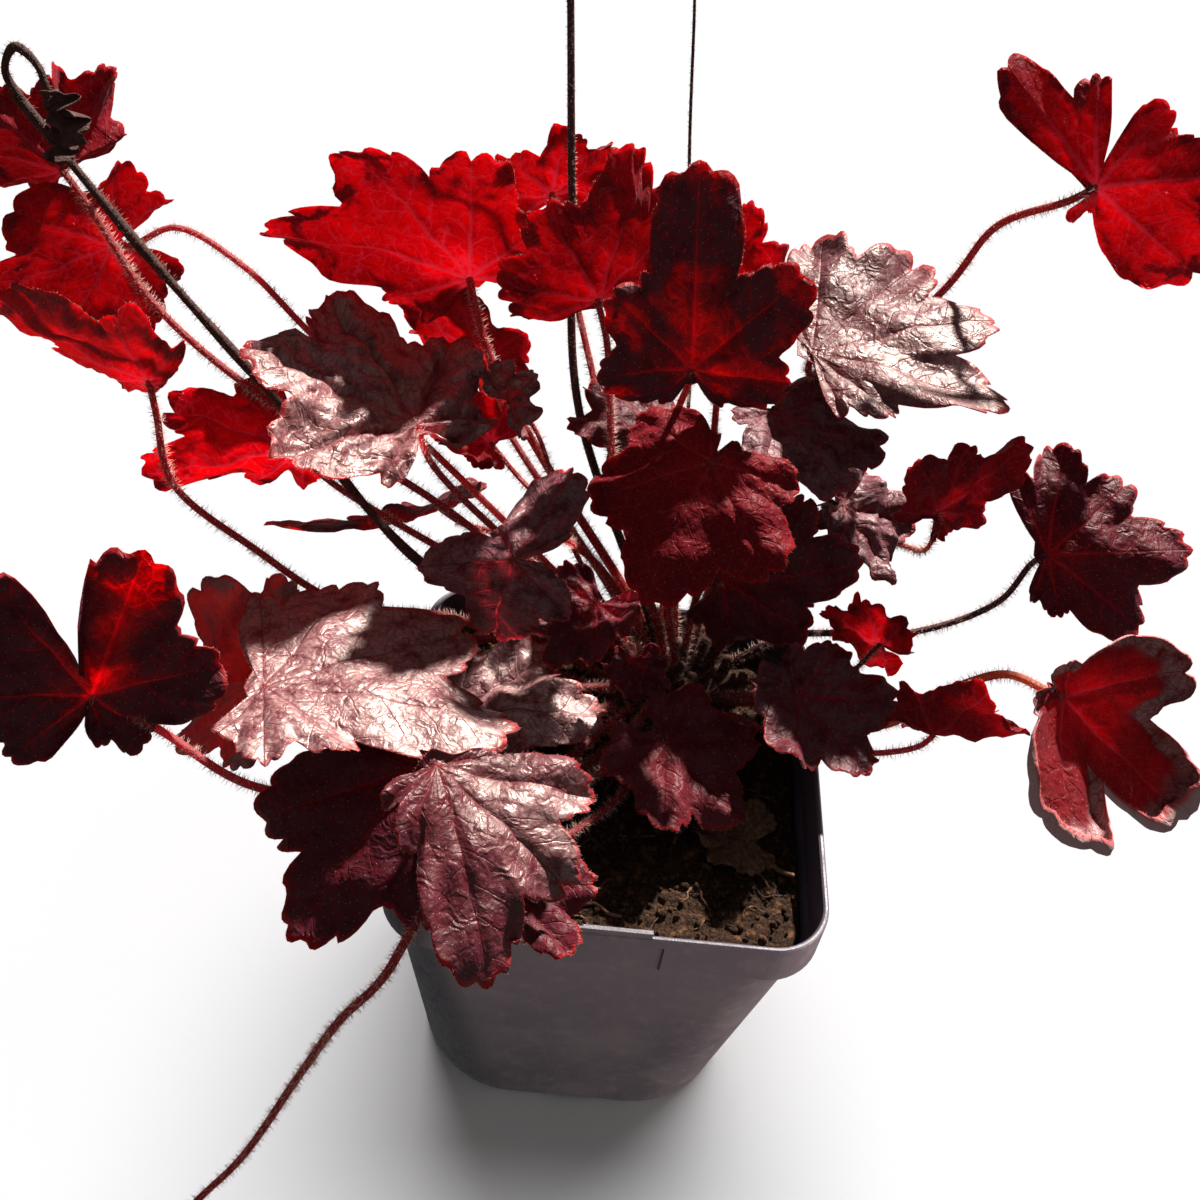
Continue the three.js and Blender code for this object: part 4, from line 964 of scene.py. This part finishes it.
STALK = [[-22, 97, 188], [-31, 133, 241], [-38, 165, 293], [-42, 181, 322]]
THIN_STALK = [[14, 58, 146], [15, 84, 172], [12, 120, 215], [5, 144, 254], [0, 165, 298],
              [-3, 174, 318]]
BUDS = Sizes(count=5, reach=9, turn=137.5, sepals=5, hairs=60)
WITHERED_PATH = [[-20, 39, 142], [-64, 43, 160], [-108, 58, 204], [-150, 71, 248], [-182, 83, 284]]
HOOK = [[-179.5, 82, 281], [-184, 84, 290], [-180, 84, 297], [-173, 80, 294], [-171, 77, 284]]
WITHERED_BLADE = row("withered", "dark", HOOK[-1], (2, -3, -6), (6, 6, 3), 14, 0.8, 20, 35, 0.8,
                     pucker=1.2, uneven=1.5, ruffle=1.4)
TRAILING = row("trailing", "dark", (-134, -127, 2.6), (-6, -8, 0), (0, 0, 10), 36, 0.85, 0, 4, 0.6,
               pucker=0.4, uneven=0.3, ruffle=0.4, radius=1.4)
TRAILING_PATH = [[-8, -3, 127], [-34, -38, 129], [-48, -59, 138], [-60, -76, 118], [-72, -80, 98],
                 [-86, -81, 60], [-106, -92, 16], [-120, -103, 3], TRAILING.hub]
DRY_PATH = [[57, -33, 122.5], [53, -30, 120.2], [49, -25, 119.6], [45, -20, 119.4]]
DRY_BLADE = row("dry", "dark", DRY_PATH[-1], (-10, 1, 0), (0, 0, 10), 19, 0.85, 0, 12, 0.5,
                pucker=0.5, uneven=0.5)

stems = [petiole_points(leaf) for leaf in LEAVES]
for points in (WITHERED_PATH, TRAILING_PATH, STALK, THIN_STALK):
    stems.append([np.array(p, float) for p in points])
feet = crown_feet([points[0] for points in stems])
paths = [rooted_path(foot, points) for foot, points in zip(feet, stems)]
withered_path, trailing_path, stalk_path, thin_path = paths[len(LEAVES):]

for leaf, path in zip(LEAVES, paths):
    make_leaf(leaf, path)
make_leaf(TRAILING, trailing_path)


def make_withered():
    parts = Parts("withered")
    add_blade(parts, WITHERED_BLADE)
    tube = add_tube(parts, withered_path, lambda s: 1.6 - 0.3 * s + 0.2 * np.sin(40 * s), sides=10)
    hairs_on_tube(parts, tube, 7.0, 1.8)
    hook = add_tube(parts, HOOK, lambda s: 1.15 + 0.15 * np.sin(15 * s), sides=10, spacing=1.0)
    hairs_on_tube(parts, hook, 7.0, 1.5, start=3.0)
    add_piece(parts, "leaf_withered", [WITHERED, BROWN_HAIR])


def make_dry_leaf():
    parts = Parts("dry")
    add_blade(parts, DRY_BLADE)
    add_tube(parts, DRY_PATH, 0.75, spacing=1.0)
    add_piece(parts, "leaf_dry_on_soil", [DRY])


def add_bud(parts, end):
    """A bud that its sepals hug, with short hairs."""
    add_ball(parts, end, (1.6, 1.6, 2.3), 0.03, 12, 8)
    for turn in np.arange(BUDS.sepals) * TAU / BUDS.sepals:
        way = np.array([math.cos(turn), math.sin(turn), 0])
        sepal = [end + out * way + (0, 0, up) for out, up in ((0, -2.2), (1.5, -0.6), (1.3, 1.4), (0.5, 2.6))]
        add_tube(parts, sepal, lambda s: 0.6 - 0.45 * s, sides=6, spacing=0.6)
    ways = np.array([unit(parts.rng.standard_normal(3)) for _ in range(BUDS.hairs)])
    roots = end + 1.6 * ways
    add_hairs(parts, roots, roots - end, np.full(BUDS.hairs, 0.7), 0.04, 1)


def make_stalk():
    parts = Parts("stalk")
    tube = add_tube(parts, stalk_path, lambda s: 1.55 - 0.45 * s, sides=12)
    hairs_on_tube(parts, tube, 7.0, 1.2)
    below, top = (np.array(p, float) for p in STALK[-2:])
    for i in range(BUDS.count):
        share = 0.35 + 0.65 * i / (BUDS.count - 1)
        start = below + (top - below) * share
        angle = math.radians(i * BUDS.turn)
        reach = BUDS.reach * (1.3 - share)
        end = start + np.array([reach * math.cos(angle), reach * math.sin(angle), 0.6 * reach])
        knee = start + (end - start) * 0.6 + np.array([0, 0, -0.5])
        twig = add_tube(parts, [start, knee, end], 0.5, sides=7, spacing=0.8)
        hairs_on_tube(parts, twig, 7.0, 0.7, start=1.0)
        add_bud(parts, end)
    add_piece(parts, "flower_stalk", [STEMS["dark"], PALE_HAIR])


def make_thin_stalk():
    parts = Parts("thin")
    tube = add_tube(parts, thin_path, lambda s: 0.75 - 0.3 * s)
    hairs_on_tube(parts, tube, 5.0, 1.0)
    add_piece(parts, "flower_stalk_thin", [STEMS["dark"], PALE_HAIR])


make_withered()
make_dry_leaf()
make_stalk()
make_thin_stalk()

# ---------------------------------------------------------------- crown, soil and pot

CROWN_STUBS = 16
STREWN = Sizes(crumbs=1500, crumb_reach=58, roots=150, root_reach=53, root_limit=57)
DRAIN_ANGLES = (45, 135, 225, 315)
CRISP_ANGLE = math.radians(35)


def make_crown():
    parts = Parts("crown")
    rng = parts.rng
    around = TAU * np.arange(72) / 72
    radius, foot = CROWN.radius, CROWN.foot
    profile = [(radius * 0.55, foot), (radius * 0.85, foot + 5), (radius, foot + 9),
               (radius, CROWN.edge - 3)]
    profile += [(radius * t, crown_height(radius * t)) for t in np.linspace(1, 0.05, 16)]
    rings = []
    for away, z in profile:
        r = away + (CROWN.knobs * np.sin(5 * around + z * 0.3) if away > 1 else 0)
        r = r + 0.35 * np.sin(11 * around + 0.9 * z) + 0.2 * rng.standard_normal(len(around))
        bump = 0.5 * np.sin(7 * around + 0.7 * away) + 0.25 * rng.standard_normal(len(around))
        x, y = CROWN.x + r * np.cos(around), CROWN.y + r * np.sin(around)
        rings.append(np.stack([x, y, z + bump], 1))
    parts.add(*ring_loft(rings), 0)
    # A brown papery sheath hugs the foot of every stem.
    for base, above, *_ in paths:
        way = unit(above - base)
        start = base + way * (SINK - 2)
        bent = start + way * 12 + 1.2 * rng.standard_normal(3)
        sheath = add_tube(parts, [start, start + way * 6, bent], lambda s: 2.5 - 1.0 * s, 0, 9, 1.5)
        hairs_on_tube(parts, sheath, 14.0, 2.6, start=0.5)
    # Stubs of old leaf stems stand between them.
    for _ in range(CROWN_STUBS):
        turn, away = TAU * rng.random(), radius * math.sqrt(rng.random())
        x, y = away * math.cos(turn), away * math.sin(turn)
        foot = np.array([CROWN.x + x, CROWN.y + y, crown_height(away) - 2])
        lean = unit([x, y, 16])
        length = rng.uniform(6, 14)
        tip = foot + lean * length + rng.standard_normal(3)
        stub = add_tube(parts, [foot, foot + lean * length * 0.6, tip], lambda s: 1.3 - 0.4 * s, 0, 8, 1.5)
        hairs_on_tube(parts, stub, 10.0, 2.0, start=1.0)
    add_piece(parts, "crown", [WOOD, BROWN_HAIR])


def lerp(a, b, t):
    return a + (b - a) * t


def square_ring(side, corner, z, corner_points=12, edge_points=10):
    """A rounded square, with points along its straight sides too."""
    h = side / 2 - corner
    points = []
    for cx, cy, start in ((h, -h, -90), (h, h, 0), (-h, h, 90), (-h, -h, 180)):
        for i in range(corner_points):
            a = math.radians(start + 90 * i / (corner_points - 1))
            points.append(np.array([cx + corner * math.cos(a), cy + corner * math.sin(a), z]))
    full = []
    for i, p in enumerate(points):
        full.append(p)
        if i % corner_points == corner_points - 1:
            q = points[(i + 1) % len(points)]
            full += [lerp(p, q, k / edge_points) for k in range(1, edge_points)]
    return np.array(full)


def body_ring(z, inset):
    t = z / BODY_TOP
    side = lerp(POT.base_side, POT.rim_side - 2 * POT.step, t)
    corner = lerp(POT.base_corner, POT.rim_corner - 1, t)
    return square_ring(side - 2 * inset, corner - inset, z)


def rim_ring(z, inset):
    return square_ring(POT.rim_side - 2 * inset, POT.rim_corner - inset, z)


def soil_height(x, y):
    lumps = np.sin(x * 0.17 + 1) * np.cos(y * 0.21 + 2) + 0.6 * np.sin(x * 0.43 - y * 0.37)
    return SOIL.level + SOIL.roughness / 2 * lumps


def draw_place(rng, half, corner=15.0):
    """A random place inside a rounded square."""
    while True:
        x, y = rng.uniform(-half, half, 2)
        over = np.maximum(np.abs([x, y]) - (half - corner), 0)
        if np.hypot(*over) < corner:
            return x, y


def make_soil():
    parts = Parts("soil")
    rng = parts.rng
    gap = SOIL.gap + 0.1
    rings = [body_ring(POT.floor + gap, POT.wall + 0.6 + gap)]
    for z in np.linspace(POT.floor + 12, BODY_TOP - 1, 5):
        rings.append(body_ring(z, POT.wall + gap))
    x, y = rings[-1][:, 0], rings[-1][:, 1]
    rings.append(np.stack([x, y, np.full(len(x), BODY_TOP + 0.7)], 1))
    for t in np.linspace(0.015, 0.97, 46):
        xx, yy = x * (1 - t), y * (1 - t)
        lumps = 0.5 * np.sin(0.9 * xx + 0.3 * yy) * np.sin(0.8 * yy)
        lumps = lumps + 0.4 * rng.standard_normal(len(x)) * (1 - t)
        rings.append(np.stack([xx, yy, soil_height(xx, yy) + lumps], 1))
    parts.add(*ring_loft(rings), 0)
    # Crumbs of peat lie on it.
    for _ in range(STREWN.crumbs):
        x, y = draw_place(rng, STREWN.crumb_reach)
        size = rng.uniform(0.4, 2.0) * rng.uniform(0.5, 1)
        radii = size * rng.uniform(0.6, 1.2, 3)
        add_ball(parts, (x, y, soil_height(x, y) + 0.35 * size), radii, 0.16, 6, 3)
    # Thin roots and bits of bark.
    for _ in range(STREWN.roots):
        start = np.array([*draw_place(rng, STREWN.root_reach), 0.0])
        turn = TAU * rng.random()
        length = rng.uniform(3, 12)
        way = np.array([math.cos(turn), math.sin(turn), 0])
        side = np.array([-way[1], way[0], 0])
        points = []
        for share in (-0.5, -0.15, 0.2, 0.5):
            p = start + way * length * share + side * rng.uniform(-1.5, 1.5)
            p[:2] = np.clip(p[:2], -STREWN.root_limit, STREWN.root_limit)
            p[2] = soil_height(p[0], p[1]) + rng.uniform(0.2, 1.3)
            points.append(p)
        add_tube(parts, points, rng.uniform(0.15, 0.6), 1 + int(rng.random() < 0.45), 5, 1.6)
    add_piece(parts, "soil", [EARTH, WOOD, DRY])


def plain_block(name, size, centre):
    corners = [(i, j, k) for i in (-1, 1) for j in (-1, 1) for k in (-1, 1)]
    faces = np.array([[0, 1, 3, 2], [4, 6, 7, 5], [0, 4, 5, 1], [2, 3, 7, 6], [0, 2, 6, 4], [1, 5, 7, 3]])
    parts = Parts()
    parts.add(np.array(corners) * (np.array(size) / 2) + centre, [faces], 0)
    return parts.make(name, [PLASTIC])


def plain_post(name, radius, low, high, x, y):
    around = TAU * np.arange(40) / 40
    rings = [np.stack([x + radius * np.cos(around), y + radius * np.sin(around), np.full(40, z)], 1)
             for z in (low, high)]
    parts = Parts()
    parts.add(*ring_loft(rings), 0)
    return parts.make(name, [PLASTIC])


def cut(piece, tools, operation):
    """Joins tools to a piece, or cuts them out of it, and drops them."""
    for tool in tools:
        step = piece.modifiers.new("cut", "BOOLEAN")
        step.operation = operation
        step.solver = "EXACT"
        step.object = tool
    done = bpy.data.meshes.new_from_object(
        piece.evaluated_get(bpy.context.evaluated_depsgraph_get()))
    piece.modifiers.clear()
    piece.data = done
    for tool in tools:
        bpy.data.objects.remove(tool)


def pot_skin():
    """The pot's wall from the foot up, over the rim and down inside to its floor."""
    edge, wall, top, floor = POT.edge, POT.wall, POT.height, POT.floor
    rings = []
    for turn in np.radians(np.linspace(90, 0, 6)):
        rings.append(body_ring(edge * (1 - math.sin(turn)), edge * (1 - math.cos(turn))))
    rings += [body_ring(z, 0) for z in np.linspace(edge + 6, BODY_TOP - 1.2, 14)]
    rings.append(body_ring(BODY_TOP - 0.4, -0.3))
    for z, inset in ((BODY_TOP, 1.0), (BODY_TOP + 0.35, 0.25), (BODY_TOP + 1.2, 0), (BODY_TOP + 6, 0),
                     (BODY_TOP + 11, 0), (top - 1.1, 0), (top - 0.45, 0.15), (top - 0.05, 0.6),
                     (top - 0.05, 1.2), (top - 0.45, 1.75), (top - 1.2, wall + 0.2),
                     (BODY_TOP + wall, wall + 0.9)):
        rings.append(rim_ring(z, inset))
    rings += [body_ring(z, wall) for z in np.linspace(BODY_TOP - 0.5, floor + 3, 8)]
    return rings + [body_ring(floor + 0.8, wall + 0.4), body_ring(floor, wall + 1.6)]


def make_pot():
    parts = Parts()
    parts.add(*ring_loft(pot_skin()), 0)
    pot = add_piece(parts, "pot", [PLASTIC])
    tools = []
    across, along, high = POT.notch_width, 2 * POT.notch_depth, 2 * POT.notch_height
    for i, (x, y) in enumerate(((0, -1), (1, 0), (0, 1), (-1, 0))):
        size = (along, across, high) if y == 0 else (across, along, high)
        centre = np.array([x, y, 0]) * (POT.base_side / 2)
        tools.append(plain_block(f"notch_{i}", size, centre))
    for i, angle in enumerate(np.radians(DRAIN_ANGLES)):
        x, y = POT.drain_reach * math.cos(angle), POT.drain_reach * math.sin(angle)
        tools.append(plain_post(f"drain_{i}", POT.drain_radius, -5, 8, x, y))
    front = -POT.rim_side / 2
    high = POT.band - POT.recess_drop + 1
    centre = (0, front + POT.recess_depth - 1, POT.height - POT.recess_drop - high / 2)
    tools.append(plain_block("recess", (2 * POT.recess_half, 2, high), centre))
    cut(pot, tools, "DIFFERENCE")
    size = (2 * POT.tab_half, POT.tab_thick, POT.tab_height + 2)
    centre = (0, front + POT.tab_thick, POT.height + POT.tab_height / 2 - 1)
    cut(pot, [plain_block("tab", size, centre)], "UNION")
    pot.data.set_sharp_from_angle(angle=CRISP_ANGLE)
    return pot


make_crown()
make_soil()
pot = make_pot()

# ---------------------------------------------------------------- floor and lights

FLOOR_HALF = 6.0
SUN_FROM, SUN_STRENGTH, SUN_ANGLE = Vector((0.3, 0.66, 0.69)), 10.0, math.radians(2.5)
SOFT_FROM, SOFT_STRENGTH, SOFT_ANGLE = Vector((0.1, 0.5, 0.86)), 3.75, math.radians(55)
POT_WATTS = 9.0
SKY_STRENGTH = 0.13
# These leaves don't shade the others in the sun, so that the pale front leaves are lit.
LET_THROUGH = ("leaf_puckered", "leaf_inner_cupped", "leaf_inner_left")


def make_floor():
    m = Shader("floor_paper")
    place = m.place()
    colour = m.paint((0.87, 0.87, 0.88), (m.noise(place, 0.004, 3.0), (0.89, 0.89, 0.895)))
    material = m.finish({"Base Color": colour, "Roughness": 0.8, "Specular IOR Level": 0.15,
                         "Normal": m.bump(m.noise(place, 0.9, 3.0), 0.08, 0.2)})
    mesh = bpy.data.meshes.new("floor")
    h = FLOOR_HALF
    mesh.from_pydata([(-h, -h, 0), (h, -h, 0), (h, h, 0), (-h, h, 0)], [], [(0, 1, 2, 3)])
    mesh.materials.append(material)
    floor = bpy.data.objects.new("floor", mesh)
    floor.visible_diffuse = False
    floor.visible_glossy = False
    bpy.context.scene.collection.objects.link(floor)
    return floor


def make_light(name, kind, energy, toward, colour, place=(0, 0, 0), **settings):
    """A light that shines along toward, from place in metres."""
    data = bpy.data.lights.new(name, kind)
    data.energy = energy
    data.color = colour
    for key, value in settings.items():
        setattr(data, key, value)
    light = bpy.data.objects.new(name, data)
    light.location = place
    light.rotation_euler = Vector(toward).to_track_quat("-Z", "Y").to_euler()
    bpy.context.scene.collection.objects.link(light)
    return light.light_linking


def linked(name, pieces, state):
    """A collection that limits a light's reach, or its shadows, to the pieces or to all but them."""
    collection = bpy.data.collections.new(name)
    for piece in pieces:
        collection.objects.link(piece)
    for member in collection.collection_objects:
        member.light_linking.link_state = state
    return collection


floor = make_floor()
clear = [bpy.data.objects[name + "_fine"] for name in LET_THROUGH]
sun = make_light("sun", "SUN", SUN_STRENGTH, -SUN_FROM, (1.0, 0.96, 0.9), angle=SUN_ANGLE)
sun.receiver_collection = linked("all_but_floor", [floor], "EXCLUDE")
sun.blocker_collection = linked("sun_shade", clear, "EXCLUDE")
floor_sun = make_light("floor_sun", "SUN", SOFT_STRENGTH, -SOFT_FROM, (1, 1, 1), angle=SOFT_ANGLE)
floor_sun.receiver_collection = linked("floor_alone", [floor], "INCLUDE")
floor_sun.blocker_collection = linked("floor_shade", [pot], "INCLUDE")
pot_light = make_light("pot_light", "AREA", POT_WATTS, (-0.93, 0.33, -0.05), (1, 0.84, 0.68),
                       (0.6, -0.25, 0.1), shape="SQUARE", size=0.3)
pot_light.receiver_collection = linked("pot_alone", [pot], "INCLUDE")

world = bpy.data.worlds.new("studio")
world.use_nodes = True
sky = world.node_tree.nodes["Background"]
sky.inputs["Color"].default_value = (1, 1, 1, 1)
sky.inputs["Strength"].default_value = SKY_STRENGTH
bpy.context.scene.world = world
bpy.context.scene.view_settings.view_transform = "Standard"
